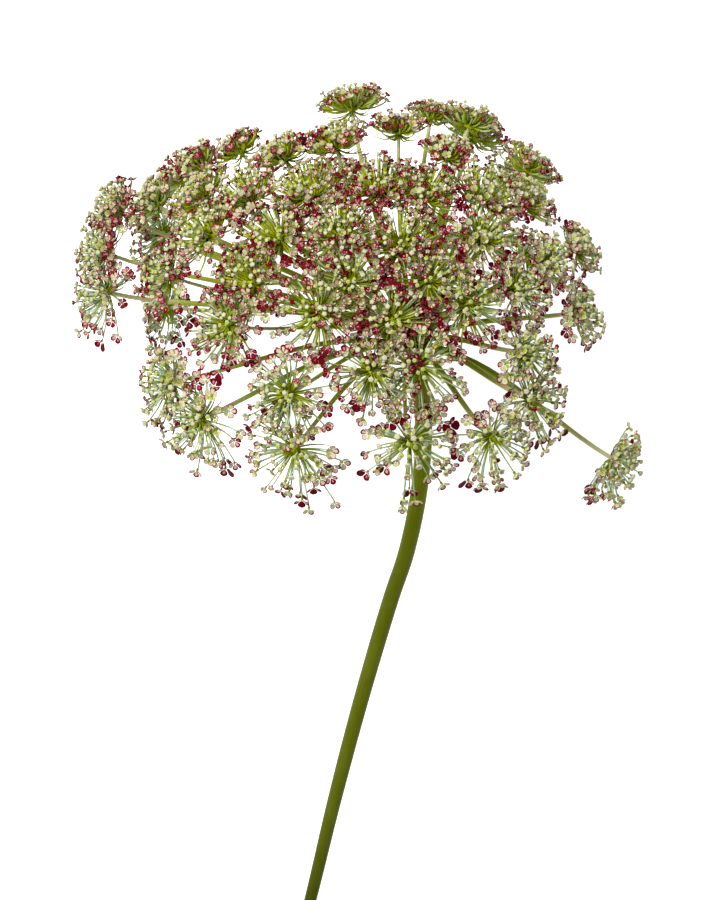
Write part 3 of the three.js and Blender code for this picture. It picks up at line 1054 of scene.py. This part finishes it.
@dataclass
class Stalks:
    """The stem, the receptacle on top of it and one ray to each head, grown as one piece.

    Lengths are in millimetres. The stem's radius and its painted light are stops along it, from its cut end
    to its top; the painted light makes the stem lighter where the heads shade it and darker towards the cut
    end.
    """

    heads: Sequence[Head]
    axis: Vector
    stem_radii: Sequence[tuple[float, float]] = ((0, 1.12), (0.3, 1.56), (0.45, 1.67), (0.8, 1.7), (1, 1.85))
    # Painted light: lighter where the heads shade the stem, darker towards the cut end.
    stem_painted_light: Sequence[tuple[float, float]] = (
        (0.13, -0.5), (0.2, -0.3), (0.27, -0.18), (0.5, -0.1),
        (0.6, 0.0), (0.67, 0.12), (0.75, 0.45), (0.9, 0.2),
    )
    stem_sides: int = 24
    stem_steps: int = 8
    stem_rib: float = 0.025
    receptacle: float = 3.1
    receptacle_faces: tuple[int, int] = (16, 10)
    receptacle_along: float = 0.1
    ray_root: float = 0.72
    ray_tip: float = 0.4
    ray_taper: float = 0.8
    ray_girth: tuple[float, float] = (0.8, 1.12)
    ray_along: tuple[float, float] = (0.12, 0.95)
    crowding: float = 1.4
    crown_girth: float = 0.66
    ray_sides: int = 8
    ray_steps: int = 14
    ray_rib: float = 0.06
    spread_at_root: float = 0.7
    root_depth: float = 0.6
    rise: float = 0.34
    arrival: float = 0.32
    hub_gap: float = 1.4
    below_hub: float = 0.4
    pith_inset: float = 0.22
    pith_depth: float = 0.3

    def _add_stem(self, mould: Mould, points: Sequence[Vector]) -> None:
        """Sweeps the stem along its middle line, gives its rings their painted light and hollows the pith at
        its cut end a little.

        Args:
            mould: The piece in the making.
            points: The middle line, from the cut end to the node.
        """
        last = len(points) - 1
        radii = [between_stops(self.stem_radii, k / last) for k in range(last + 1)]
        made = mould.sweep(rings_along(points, radii), [0.0] * (last + 1), self.stem_sides, self.stem_rib)
        # Each ring's tone is the painted light at its place along the stem.
        for number, vert in enumerate(made):
            vert[mould.tone] = between_stops(self.stem_painted_light, number // self.stem_sides / last)
        inward = (points[1] - points[0]).normalized()
        # All faces but the two ends have four corners.
        ends = once_each(face for vert in made for face in vert.link_faces if len(face.verts) > 4)
        cut = min(ends, key=lambda face: (face.calc_center_median() - points[0]).length)
        bmesh.ops.inset_region(mould.bm, faces=[cut], thickness=self.pith_inset, use_even_offset=True)
        bmesh.ops.translate(mould.bm, vec=inward * self.pith_depth, verts=cut.verts)
        cut.material_index = 1

    def _ray_points(self, head: Head, node: Vector) -> list[Vector]:
        """Lays a ray: out of the receptacle, up and over, and into its hub from behind.

        Args:
            head: The head that it carries.
            node: The middle of the receptacle.

        Returns:
            Its middle line.
        """
        tip = head.hub - head.facing * self.hub_gap
        span = tip - node
        outward = square_to(self.axis, span)[0]
        turn = self.spread_at_root * span.angle(self.axis)
        start = Matrix.Rotation(turn, 3, self.axis.cross(outward)) @ self.axis
        root = node + start * (self.receptacle * self.root_depth)
        controls = (
            root, root + start * (span.length * self.rise),
            tip - head.facing * (span.length * self.arrival), tip,
        )
        return [*interpolate_bezier(*controls, self.ray_steps + 1), head.hub - head.facing * self.below_hub]

    def build(self, points: Sequence[Vector], draw: random.Random) -> Mould:
        """Makes the whole piece.

        Args:
            points: The stem's middle line.
            draw: The seeded draws.

        Returns:
            The shape.
        """
        mould = Mould()
        node = points[-1]
        self._add_stem(mould, points)
        place = Matrix.Translation(node) @ Matrix.Scale(self.receptacle, 4)
        mould.smooth_ball(place, *self.receptacle_faces, self.receptacle_along, self.receptacle_along, 0)
        for head in self.heads:
            line = self._ray_points(head, node)
            crowded = head.crown_share * limit(self.crowding * head.facing.z)
            girth = draw.uniform(*self.ray_girth) * between(1.0, self.crown_girth, crowded)
            shares = [min(k / self.ray_steps, 1.0) for k in range(len(line))]
            radii = [
                girth * between(self.ray_root, self.ray_tip, share**self.ray_taper) for share in shares
            ]
            along = [between(*self.ray_along, share) for share in shares]
            mould.sweep(rings_along(line, radii), along, self.ray_sides, self.ray_rib)
        mould.settle()
        return mould

    def dress(self, mould: Mould, skin: StalkFinish, pith: PithFinish) -> bpy.types.Object:
        """Finishes the piece, which stands for the frame's stem.

        Args:
            mould: The shape.
            skin: The finish of its skin.
            pith: The finish of its cut end.

        Returns:
            The piece.
        """
        finishes = [skin.material(), pith.material()]
        return dressed_piece("stalks", mould, finishes, "stem", CUT_EDGE)


# ---- parts of a head ----------------------------------------------------------------------------


@dataclass(frozen=True)
class Thread:
    """A thin stalk of length 1 along +Z that bows towards +X: a pedicel or a bractlet."""

    name: str
    root: float
    tip: float
    bow: float
    sides: int
    steps: int
    start: float
    end: float

    def cast(self) -> bpy.types.Mesh:
        """Makes its mesh, on which one unit sideways is its radius, for its place to scale.

        Returns:
            The mesh.
        """
        mould = Mould()
        shares = [k / self.steps for k in range(self.steps + 1)]
        points = [Vector((self.bow * math.sin(math.pi * share), 0, share)) for share in shares]
        rings = [
            placing(point, Vector((radius, 0, 0)), Vector((0, radius, 0)), UP)
            for point, radius in zip(points, (between(self.root, self.tip, share) for share in shares))
        ]
        mould.sweep(rings, [between(self.start, self.end, share) for share in shares], self.sides)
        return mould.cast(self.name)


@dataclass(frozen=True)
class Petal:
    """A rounded petal that starts near its floret's axis and reaches out, in millimetres."""

    length: float
    width: float
    rise: float
    curl: float
    corners: int
    start: float = 0.14
    cup: float = 0.2
    thickness: float = 0.14
    narrow_base: float = 0.4
    base_tone: float = 0.5
    middle_tone: float = 0.1
    rim_tone: float = 1.0
    tone_rise: float = 2.0
    curl_power: float = 1.6
    widening: float = 1.5
    bend_steps: int = 8

    def add(self, mould: Mould, lift: float, turn: float, gain: float, riper: float) -> None:
        """Adds the petal to a floret: a lens with few corners, bent.

        Args:
            mould: The floret in the making.
            lift: The height of the petal's base.
            turn: Its direction round the floret's axis.
            gain: How much larger than usual it is.
            riper: How much riper than usual it is.
        """
        # The lens has its corners round its rim, at depth 0, and in the middle of either side, at -1 and 1.
        lens = mould.smooth_ball(Matrix.Identity(4), self.corners, 2, 0.0, 0.0, 1)
        for vert in lens:
            share, side, depth = (vert.co.x + 1) / 2, vert.co.y, vert.co.z
            vert.co = self._bent(share, side, depth) * gain
            rim = between(self.base_tone, self.rim_tone, limit(self.tone_rise * share))
            vert[mould.along] = max((rim if abs(depth) < 0.5 else self.middle_tone) + riper, 0.0)
        place = Matrix.Translation((0, 0, lift)) @ Matrix.Rotation(turn, 4, "Z")
        bmesh.ops.transform(mould.bm, matrix=place, verts=lens)

    def _bent(self, share: float, side: float, depth: float) -> Vector:
        """Bends a point of the flat petal to its place.

        Args:
            share: How far along the petal it is.
            side: How far to the side, from -1 to 1.
            depth: How far up, from -1 to 1.

        Returns:
            The place on a petal that reaches out along +X.
        """
        reach, height = self.start, 0.0
        for k in range(self.bend_steps):
            slope = self.rise + self.curl * (share * (k + 0.5) / self.bend_steps) ** self.curl_power
            reach += math.cos(slope) * self.length * share / self.bend_steps
            height += math.sin(slope) * self.length * share / self.bend_steps
        slope = self.rise + self.curl * share**self.curl_power
        half_width = self.width / 2 * side * between(self.narrow_base, 1.0, min(self.widening * share, 1.0))
        out = self.thickness / 2 * depth + self.cup * abs(half_width * side)
        return Vector((reach - math.sin(slope) * out, half_width, height + math.cos(slope) * out))


class Stage(Enum):
    """How far a floret has come."""

    BUD = "bud"
    OPENING = "opening"
    HALF_OPEN = "half_open"
    OPEN = "open"
    RADIANT = "radiant"


@dataclass(frozen=True)
class Bud:
    """A round or opening bud that faces +Z: a ball with five lobes that narrows into its ovary below."""

    stage: Stage
    radius: float
    furrow_tone: float = 0.36
    rim_tone: float = 0.8
    top_tone: float = 0.5
    middle_tone: float = 0.1
    height: float = 0.85
    neck_radius: float = 0.2
    neck_height: float = 0.4
    shoulder: float = 0.72
    top_reach: float = 0.66
    furrow: float = 0.12
    dimple: float = 0.16
    green_below: float = 0.5
    ovary_along: float = 0.8

    NEAR = 0.1  # tells the unit ball's poles and its middle ring from its other corners

    def cast(self) -> bpy.types.Mesh:
        """Makes its mesh.

        Returns:
            The mesh, with the ovary as finish 0 and the petals as finish 1.
        """
        mould = Mould()
        along = self.ovary_along
        for vert in mould.smooth_ball(Matrix.Identity(4), 2 * PETALS, 4, along, along, 1):
            self._place(mould, vert)
        for face in mould.bm.faces:
            if max(vert.co.z for vert in face.verts) < self.green_below * self.height:
                face.material_index = 0
        return mould.cast(self.stage.value)

    def _place(self, mould: Mould, vert: bmesh.types.BMVert) -> None:
        """Moves a corner of the unit ball to its place and gives it its tone.

        Args:
            mould: The bud in the making.
            vert: The corner.
        """
        level, out = vert.co.z, Vector((vert.co.x, vert.co.y))
        lobe = (1 + math.sin(PETALS * math.atan2(out.y, out.x))) / 2
        on_axis, widest = out.length < self.NEAR, level < self.NEAR
        if level < -self.NEAR:
            neck = Vector((*(out.normalized() * self.neck_radius), self.neck_height * self.height))
            vert.co = Vector((0, 0, 0)) if on_axis else neck
        elif on_axis:
            vert.co = Vector((0, 0, self.height - self.dimple))
            vert[mould.along] = self.middle_tone
        else:
            reach = self.radius * (1 - self.furrow * (1 - lobe)) * (1.0 if widest else self.top_reach)
            height = self.height * (self.shoulder if widest else 1.0)
            vert.co = Vector((*(out.normalized() * reach), height))
            lobe_tone = self.rim_tone if widest else self.top_tone
            vert[mould.along] = between(self.furrow_tone, lobe_tone, lobe)


@dataclass(frozen=True)
class Floret:
    """A floret that stands on the origin and faces +Z, with its ovary below its petals."""

    stage: Stage
    petal: Petal
    outer_gain: float = 0.0
    gain_all_round: float = 0.4
    gain_outwards: float = 0.6
    outer_tone: float = 0.36
    ovary_radius: float = 0.2
    ovary_height: float = 0.5
    ovary_along: tuple[float, float] = (0.76, 0.88)
    cushion: float = 0.17
    cushion_height: float = 0.7
    cushion_tone: float = 0.1

    def cast(self) -> bpy.types.Mesh:
        """Makes its mesh.

        Returns:
            The mesh, with the ovary as finish 0 and the petals as finish 1.
        """
        mould = Mould()
        ovary = Matrix.Translation((0, 0, self.ovary_height * 0.5)) @ Matrix.Diagonal(
            (self.ovary_radius, self.ovary_radius, self.ovary_height * 0.5, 1))
        mould.smooth_ball(ovary, PETALS, 3, *self.ovary_along, 0)
        for k in range(PETALS):
            turn = 2 * math.pi * k / PETALS
            gain = 1 + self.outer_gain * (self.gain_all_round + self.gain_outwards * math.cos(turn))
            self.petal.add(mould, self.ovary_height, turn, gain, self.outer_tone * math.cos(turn))
        if self.petal.start < self.cushion:
            cushion = Matrix.Translation((0, 0, self.ovary_height)) @ Matrix.Diagonal(
                (self.cushion, self.cushion, self.cushion * self.cushion_height, 1))
            mould.smooth_ball(cushion, PETALS, 2, self.cushion_tone, self.cushion_tone, 1)
        return mould.cast(self.stage.value)


@dataclass(frozen=True)
class Casts:
    """The shapes that all heads are put together from."""

    pedicel: bpy.types.Mesh
    bractlet: bpy.types.Mesh
    florets: Mapping[Stage, bpy.types.Mesh]

    @classmethod
    def make(cls) -> "Casts":
        """Makes all shapes once.

        Returns:
            The shapes: two threads, two buds and three florets.
        """
        pedicel = Thread("pedicel", root=1.15, tip=0.9, bow=3.0, sides=3, steps=3, start=0.06, end=0.72)
        bractlet = Thread("bractlet", root=1.0, tip=0.25, bow=4.0, sides=3, steps=5, start=1.0, end=1.0)
        folded = Petal(
            length=0.78, width=0.7, rise=math.radians(24), curl=math.radians(80), corners=9,
            thickness=0.2,
        )
        spread = Petal(
            length=0.84, width=0.8, rise=math.radians(8), curl=math.radians(62), corners=11,
        )
        florets = (
            Bud(Stage.BUD, radius=0.34),
            Bud(
                Stage.OPENING, radius=0.46, furrow_tone=0.9, rim_tone=0.98, top_tone=0.4,
                middle_tone=0.8, height=0.8, furrow=0.24, dimple=0.26,
            ),
            Floret(Stage.HALF_OPEN, folded),
            Floret(Stage.OPEN, spread, outer_gain=0.2),
            Floret(Stage.RADIANT, spread, outer_gain=0.62, outer_tone=0.7),
        )
        return cls(pedicel.cast(), bractlet.cast(), {floret.stage: floret.cast() for floret in florets})

    def discard(self) -> None:
        """Removes the shapes, once every head has its copies."""
        for mesh in (self.pedicel, self.bractlet, *self.florets.values()):
            bpy.data.meshes.remove(mesh)


# ---- the heads ----------------------------------------------------------------------------------


@dataclass
class Umbellet:
    """One head: hub, pedicels, florets and bractlets. Lengths are in millimetres, angles in degrees."""

    head: Head
    axis: Vector
    ripe_side: Vector
    # How many florets there are, and the ways their pedicels leave the hub.
    crown_florets: int = 122
    rim_florets: int = 70
    least_tilt: float = 14.0
    crown_tilt: float = 80.0
    rim_tilt: float = 97.0
    tilt_power: float = 0.62
    tilt_spread: float = 9.0
    turn_spread: float = 20.0
    # The hub and the pedicels on it.
    hub_radius: float = 1.1
    hub_height: float = 0.8
    hub_faces: tuple[int, int] = (12, 6)
    hub_coolness: float = 0.8
    cool_spread: float = 0.4
    root_depth: float = 0.6
    rim_pedicel: float = 0.17
    crown_pedicel: float = 0.23
    # The pedicels' lengths, as shares of the head's reach.
    inner_length: float = 0.4
    length_by_tilt: float = 0.5
    long_tilt: float = 80.0
    unevenness: tuple[float, float, float] = (-0.32, 0.16, 0.0)
    least_length: float = 0.3
    rim_stretch: float = 0.75
    # The florets' sizes and how they stand.
    rim_size: float = 1.42
    crown_size: float = 1.04
    size_spread: tuple[float, float] = (0.86, 1.12)
    uprightness: tuple[float, float] = (0.6, 1.1)
    spin: float = 0.7
    floret_height: float = 0.6
    least_room: float = 0.6
    least_height: float = 0.8
    over_surface: float = 0.3
    # How far the florets have come and how ripe they are.
    stage_spread: float = 0.22
    stage_ripeness: float = 0.2
    hang_ripeness: float = 0.4
    rim_ripeness: float = 0.32
    side_ripeness: float = 0.14
    mean_ripeness: tuple[float, float] = (0.06, 0.86)
    rim_contrast: float = 2.6
    crown_contrast: float = 1.4
    bud_paleness: float = 0.3
    radiant_ripeness: tuple[float, float] = (0.5, 0.85)
    # The bractlets.
    rim_bractlets: int = 5
    crown_bractlets: int = 11
    bractlet_depth: float = 0.5
    bractlet_radius: float = 0.24
    bractlet_tilt: tuple[float, float] = (80, 110)
    bractlet_length: tuple[float, float] = (0.5, 0.9)
    bractlet_coolness: tuple[float, float] = (0.2, 0.9)
    bractlet_jitter: float = 0.4

    GOLDEN_TURN = math.radians(137.508)
    SHORTER = (1.0, 0.9, 0.8, 0.7)  # shares of a pedicel's length that are tried in turn
    RADII = {
        Stage.BUD: 0.42, Stage.OPENING: 0.5, Stage.HALF_OPEN: 0.64, Stage.OPEN: 0.8, Stage.RADIANT: 1.1,
    }
    STAGE_ENDS = {  # for a head at the rim and for one at the crown
        Stage.BUD: (0.16, 0.1), Stage.OPENING: (0.34, 0.3),
        Stage.HALF_OPEN: (0.7, 0.86), Stage.OPEN: (1.0, 1.2),
    }

    def _hang(self, direction: Vector) -> float:
        """Returns how much a pedicel hangs from the flower head's rim, from 0 to 1."""
        return (1 - self.head.crown_share) * max(0.0, -direction.dot(self.axis))

    def _stage(self, share: float, hang: float, draw: random.Random) -> Stage:
        """Draws the stage of a floret: the further out it is, the further it has come.

        Args:
            share: Its share of the way from the middle of the head to its rim.
            hang: How much it hangs from the flower head's rim.
            draw: The seeded draws.

        Returns:
            The stage.
        """
        ripe = share + draw.uniform(-self.stage_spread, self.stage_spread)
        ripe += self.stage_ripeness * (self.head.ripeness - 0.5)
        ripe += self.hang_ripeness * hang
        for stage, (rim_end, crown_end) in self.STAGE_ENDS.items():
            if ripe < between(rim_end, crown_end, self.head.crown_share):
                return stage
        return Stage.RADIANT

    def _direction(self, share: float, turn: float, draw: random.Random) -> Vector:
        """Draws the way a pedicel leaves the hub.

        Args:
            share: Its share of the way from the middle of the head to its rim.
            turn: Its direction round the head, in radians.
            draw: The seeded draws.

        Returns:
            The direction.
        """
        widest = between(self.rim_tilt, self.crown_tilt, self.head.crown_share)
        tilt = between(self.least_tilt, widest, share**self.tilt_power)
        tilt = math.radians(tilt + draw.uniform(-self.tilt_spread, self.tilt_spread))
        turn += math.radians(draw.uniform(-self.turn_spread, self.turn_spread))
        u, v = square_to(self.head.facing, UP)
        outward = u * math.cos(turn) + v * math.sin(turn)
        return self.head.facing * math.cos(tilt) + outward * math.sin(tilt)

    def _ripeness(self, share: float, direction: Vector, stage: Stage, draw: random.Random) -> float:
        """Draws how ripe a floret is: mostly either pale or dark, and darker on one side of the head.

        Args:
            share: Its share of the way from the middle of the head to its rim.
            direction: The way its pedicel leaves the hub.
            stage: Its stage.
            draw: The seeded draws.

        Returns:
            The ripeness, from 0 to 1.
        """
        side = direction.dot(self.ripe_side)
        mean = between(-self.rim_ripeness, self.rim_ripeness, share) + self.side_ripeness * side
        mean = limit(mean + self.head.ripeness, *self.mean_ripeness)
        contrast = between(self.rim_contrast, self.crown_contrast, self.head.crown_share)
        ripeness = draw.betavariate(contrast * mean, contrast * (1 - mean))
        if stage is Stage.BUD:
            return ripeness * self.bud_paleness
        return between(*self.radiant_ripeness, ripeness) if stage is Stage.RADIANT else ripeness

    def _length(self, direction: Vector, draw: random.Random) -> float:
        """Draws a pedicel's length: longer outwards, and longer still where it hangs from the rim.

        Args:
            direction: The way it leaves the hub.
            draw: The seeded draws.

        Returns:
            The length.
        """
        tilt = direction.angle(self.head.facing)
        uneven = draw.triangular(*self.unevenness)
        share = self.inner_length + self.length_by_tilt * tilt / math.radians(self.long_tilt) + uneven
        share = limit(share, self.least_length, 1.0)
        return share * self.head.reach * (1 + self.rim_stretch * self._hang(direction) * draw.random())

    def _free_end(self, crowd: Crowd, direction: Vector, length: float, radius: float) -> Vector | None:
        """Looks for a floret's place along its pedicel, from the full length inwards.

        Args:
            crowd: The florets that stand already.
            direction: The way the pedicel leaves the hub.
            length: Its full length.
            radius: The floret's radius.

        Returns:
            The floret's middle, or None where there is no room.
        """
        for shorter in self.SHORTER:
            end = self.head.hub + direction * (length * shorter)
            end.z = max(end.z, radius * self.least_height)
            if crowd.room(end, radius) > self.least_room:
                return end
        return None

    def _add_floret(
        self, mould: Mould, casts: Casts, crowd: Crowd, share: float, turn: float, draw: random.Random
    ) -> None:
        """Adds one pedicel with its floret where there is room for it.

        Args:
            mould: The head in the making.
            casts: The shapes of its parts.
            crowd: The florets that stand already.
            share: Its share of the way from the middle of the head to its rim.
            turn: Its direction round the head, in radians.
            draw: The seeded draws.
        """
        hub, facing, crown_share = self.head.hub, self.head.facing, self.head.crown_share
        direction = self._direction(share, turn, draw)
        stage = self._stage(share, self._hang(direction), draw)
        length = self._length(direction, draw)
        size = draw.uniform(*self.size_spread) * between(self.rim_size, self.crown_size, crown_share)
        upright = (direction + facing * draw.uniform(*self.uprightness)).normalized()
        spin = draw.uniform(-self.spin, self.spin)
        ripeness = self._ripeness(share, direction, stage, draw)
        radius = self.RADII[stage] * size
        end = self._free_end(crowd, direction, length, radius)
        if end is None:
            return
        crowd.add(end, radius)
        foot = end - upright * (self.floret_height * size)
        foot.z = max(foot.z, self.over_surface)
        root = hub + direction * (self.hub_radius * self.root_depth)
        # The pedicel's cool paleness, partly a painted highlight.
        coolness = limit(self.head.coolness + draw.uniform(-self.cool_spread, self.cool_spread))
        girth = between(self.rim_pedicel, self.crown_pedicel, crown_share)
        self._add_thread(mould, casts.pedicel, root, foot, girth, coolness)
        x, y = square_to(upright, direction)
        x, y = x * math.cos(spin) + y * math.sin(spin), y * math.cos(spin) - x * math.sin(spin)
        mould.press(casts.florets[stage], placing(foot, x * size, y * size, upright * size), ripeness)

    def _add_thread(
        self, mould: Mould, cast: bpy.types.Mesh, root: Vector, tip: Vector, radius: float, tone: float
    ) -> None:
        """Adds a thread that bows away from where the head faces.

        Args:
            mould: The head in the making.
            cast: The thread's shape.
            root: Where it starts.
            tip: Where it ends.
            radius: Its radius.
            tone: Its tone.
        """
        length = tip - root
        x, y = square_to(length.normalized(), -self.head.facing)
        mould.press(cast, placing(root, x * radius, y * radius, length), tone)

    def _add_bractlets(self, mould: Mould, casts: Casts, draw: random.Random) -> None:
        """Adds the thread-like leaflets that spread from under the hub.

        Args:
            mould: The head in the making.
            casts: The shapes of its parts.
            draw: The seeded draws.
        """
        hub, facing = self.head.hub, self.head.facing
        u, v = square_to(facing, UP)
        first = draw.uniform(0, 2 * math.pi)
        count = round(between(self.rim_bractlets, self.crown_bractlets, self.head.crown_share))
        root = hub - facing * (self.hub_radius * self.bractlet_depth)
        for k in range(count):
            jitter = draw.uniform(-self.bractlet_jitter, self.bractlet_jitter)
            turn = first + 2 * math.pi * k / count + jitter
            tilt = math.radians(draw.uniform(*self.bractlet_tilt))
            outward = u * math.cos(turn) + v * math.sin(turn)
            direction = facing * math.cos(tilt) + outward * math.sin(tilt)
            tip = hub + direction * (self.head.reach * draw.uniform(*self.bractlet_length))
            tip.z = max(tip.z, self.over_surface)
            coolness = draw.uniform(*self.bractlet_coolness)
            self._add_thread(mould, casts.bractlet, root, tip, self.bractlet_radius, coolness)

    def build(self, casts: Casts, crowd: Crowd, draw: random.Random) -> Mould:
        """Puts the head together.

        Args:
            casts: The shapes of its parts.
            crowd: The florets that stand already.
            draw: The seeded draws.

        Returns:
            The shape.
        """
        mould = Mould()
        hub, facing, radius = self.head.hub, self.head.facing, self.hub_radius
        u, v = square_to(facing, UP)
        place = placing(hub, u * radius, v * radius, facing * (radius * self.hub_height))
        for vert in mould.smooth_ball(place, *self.hub_faces, 0.0, 0.0, 0):
            vert[mould.tone] = self.hub_coolness
        first = draw.uniform(0, 2 * math.pi)
        count = round(between(self.rim_florets, self.crown_florets, self.head.crown_share))
        for k in range(count):
            share = (k + 0.5) / count
            self._add_floret(mould, casts, crowd, share, first + k * self.GOLDEN_TURN, draw)
        self._add_bractlets(mould, casts, draw)
        mould.settle()
        return mould

    def dress(self, mould: Mould, finishes: Sequence[bpy.types.Material]) -> bpy.types.Object:
        """Finishes the head.

        Args:
            mould: The shape.
            finishes: The green and the petals' material.

        Returns:
            The piece.
        """
        name = f"head_{self.head.number:02d}"
        return dressed_piece(name, mould, finishes, self.head.node, LEAF_EDGE)


# ---- the studio ---------------------------------------------------------------------------------


@dataclass
class Studio:
    """The surface, the light and the camera. Lengths are in metres."""

    floor_size: float = 3.0
    floor_finish: PaperFinish = PaperFinish()
    fill_colour: Colour = (1.0, 1.0, 1.0, 1.0)
    fill: float = 0.47
    key_place: Vector = Vector((-0.36, 0.3, 0.84)).freeze()
    key_size: float = 0.5
    key_power: float = 10.2
    lens: float = 90.0
    film: float = 36.0
    clip: tuple[float, float] = (0.02, 20.0)

    def build(self) -> None:
        """Sets up the floor, the light and the camera."""
        self._floor()
        self._light()
        self._camera()

    def _floor(self) -> None:
        """Lays out the white paper."""
        bm = bmesh.new()
        bmesh.ops.create_grid(bm, x_segments=1, y_segments=1, size=self.floor_size / 2)
        mesh = bpy.data.meshes.new("paper")
        bm.to_mesh(mesh)
        bm.free()
        mesh.materials.append(self.floor_finish.material())
        paper = bpy.data.objects.new("paper", mesh)
        bpy.context.scene.collection.objects.link(paper)
        paper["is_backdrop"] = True

    def _light(self) -> None:
        """Fills the room with even light and adds a soft lamp to the upper left."""
        world = bpy.data.worlds.new("room")
        world.use_nodes = True
        background = world.node_tree.nodes["Background"]
        background.inputs["Color"].default_value = self.fill_colour
        background.inputs["Strength"].default_value = self.fill
        bpy.context.scene.world = world
        lamp = bpy.data.lights.new("soft_key", "AREA")
        lamp.shape, lamp.size, lamp.energy = "DISK", self.key_size, self.key_power
        key = bpy.data.objects.new("soft_key", lamp)
        key.location = self.key_place
        key.rotation_euler = (-self.key_place).to_track_quat("-Z", "Y").to_euler()
        bpy.context.scene.collection.objects.link(key)

    def _camera(self) -> None:
        """Puts the camera straight above the place that the eye looks from."""
        lens = bpy.data.cameras.new("camera")
        lens.sensor_fit, lens.sensor_height, lens.lens = "VERTICAL", self.film, self.lens
        lens.clip_start, lens.clip_end = self.clip
        camera = bpy.data.objects.new("camera", lens)
        camera.location = TO_ROW @ EYE
        bpy.context.scene.collection.objects.link(camera)
        bpy.context.scene.camera = camera
        bpy.context.scene.view_settings.view_transform = "Standard"


def main() -> None:
    """Builds the studio, the stalks and all heads."""
    logging.basicConfig(level=logging.INFO, format="%(message)s", stream=sys.stdout)
    Studio().build()
    draw = random.Random(SEED)
    line = StemRoute().points(Stalks.stem_steps)
    dome = Dome()
    heads = dome.heads(line[-1], draw)
    stalks = Stalks(heads, dome.axis)
    stalks.dress(stalks.build(line, draw), StalkFinish(), PithFinish())
    casts, crowd = Casts.make(), Crowd()
    finishes = [GreenFinish().material(), PetalFinish().material()]
    for head in heads:
        crowd.add(head.hub, Umbellet.hub_radius)
    for head in heads:
        ripe_side = Vector((draw.gauss(0, 1), draw.gauss(0, 1), draw.gauss(0, 1))).normalized()
        umbellet = Umbellet(head, dome.axis, ripe_side)
        umbellet.dress(umbellet.build(casts, crowd, draw), finishes)
    casts.discard()
    boxes = {"cad": cad_box, "visual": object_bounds()}
    {name: [list(corner) for corner in box] for name, box in boxes.items()}


if __name__ == "__main__":
    main()
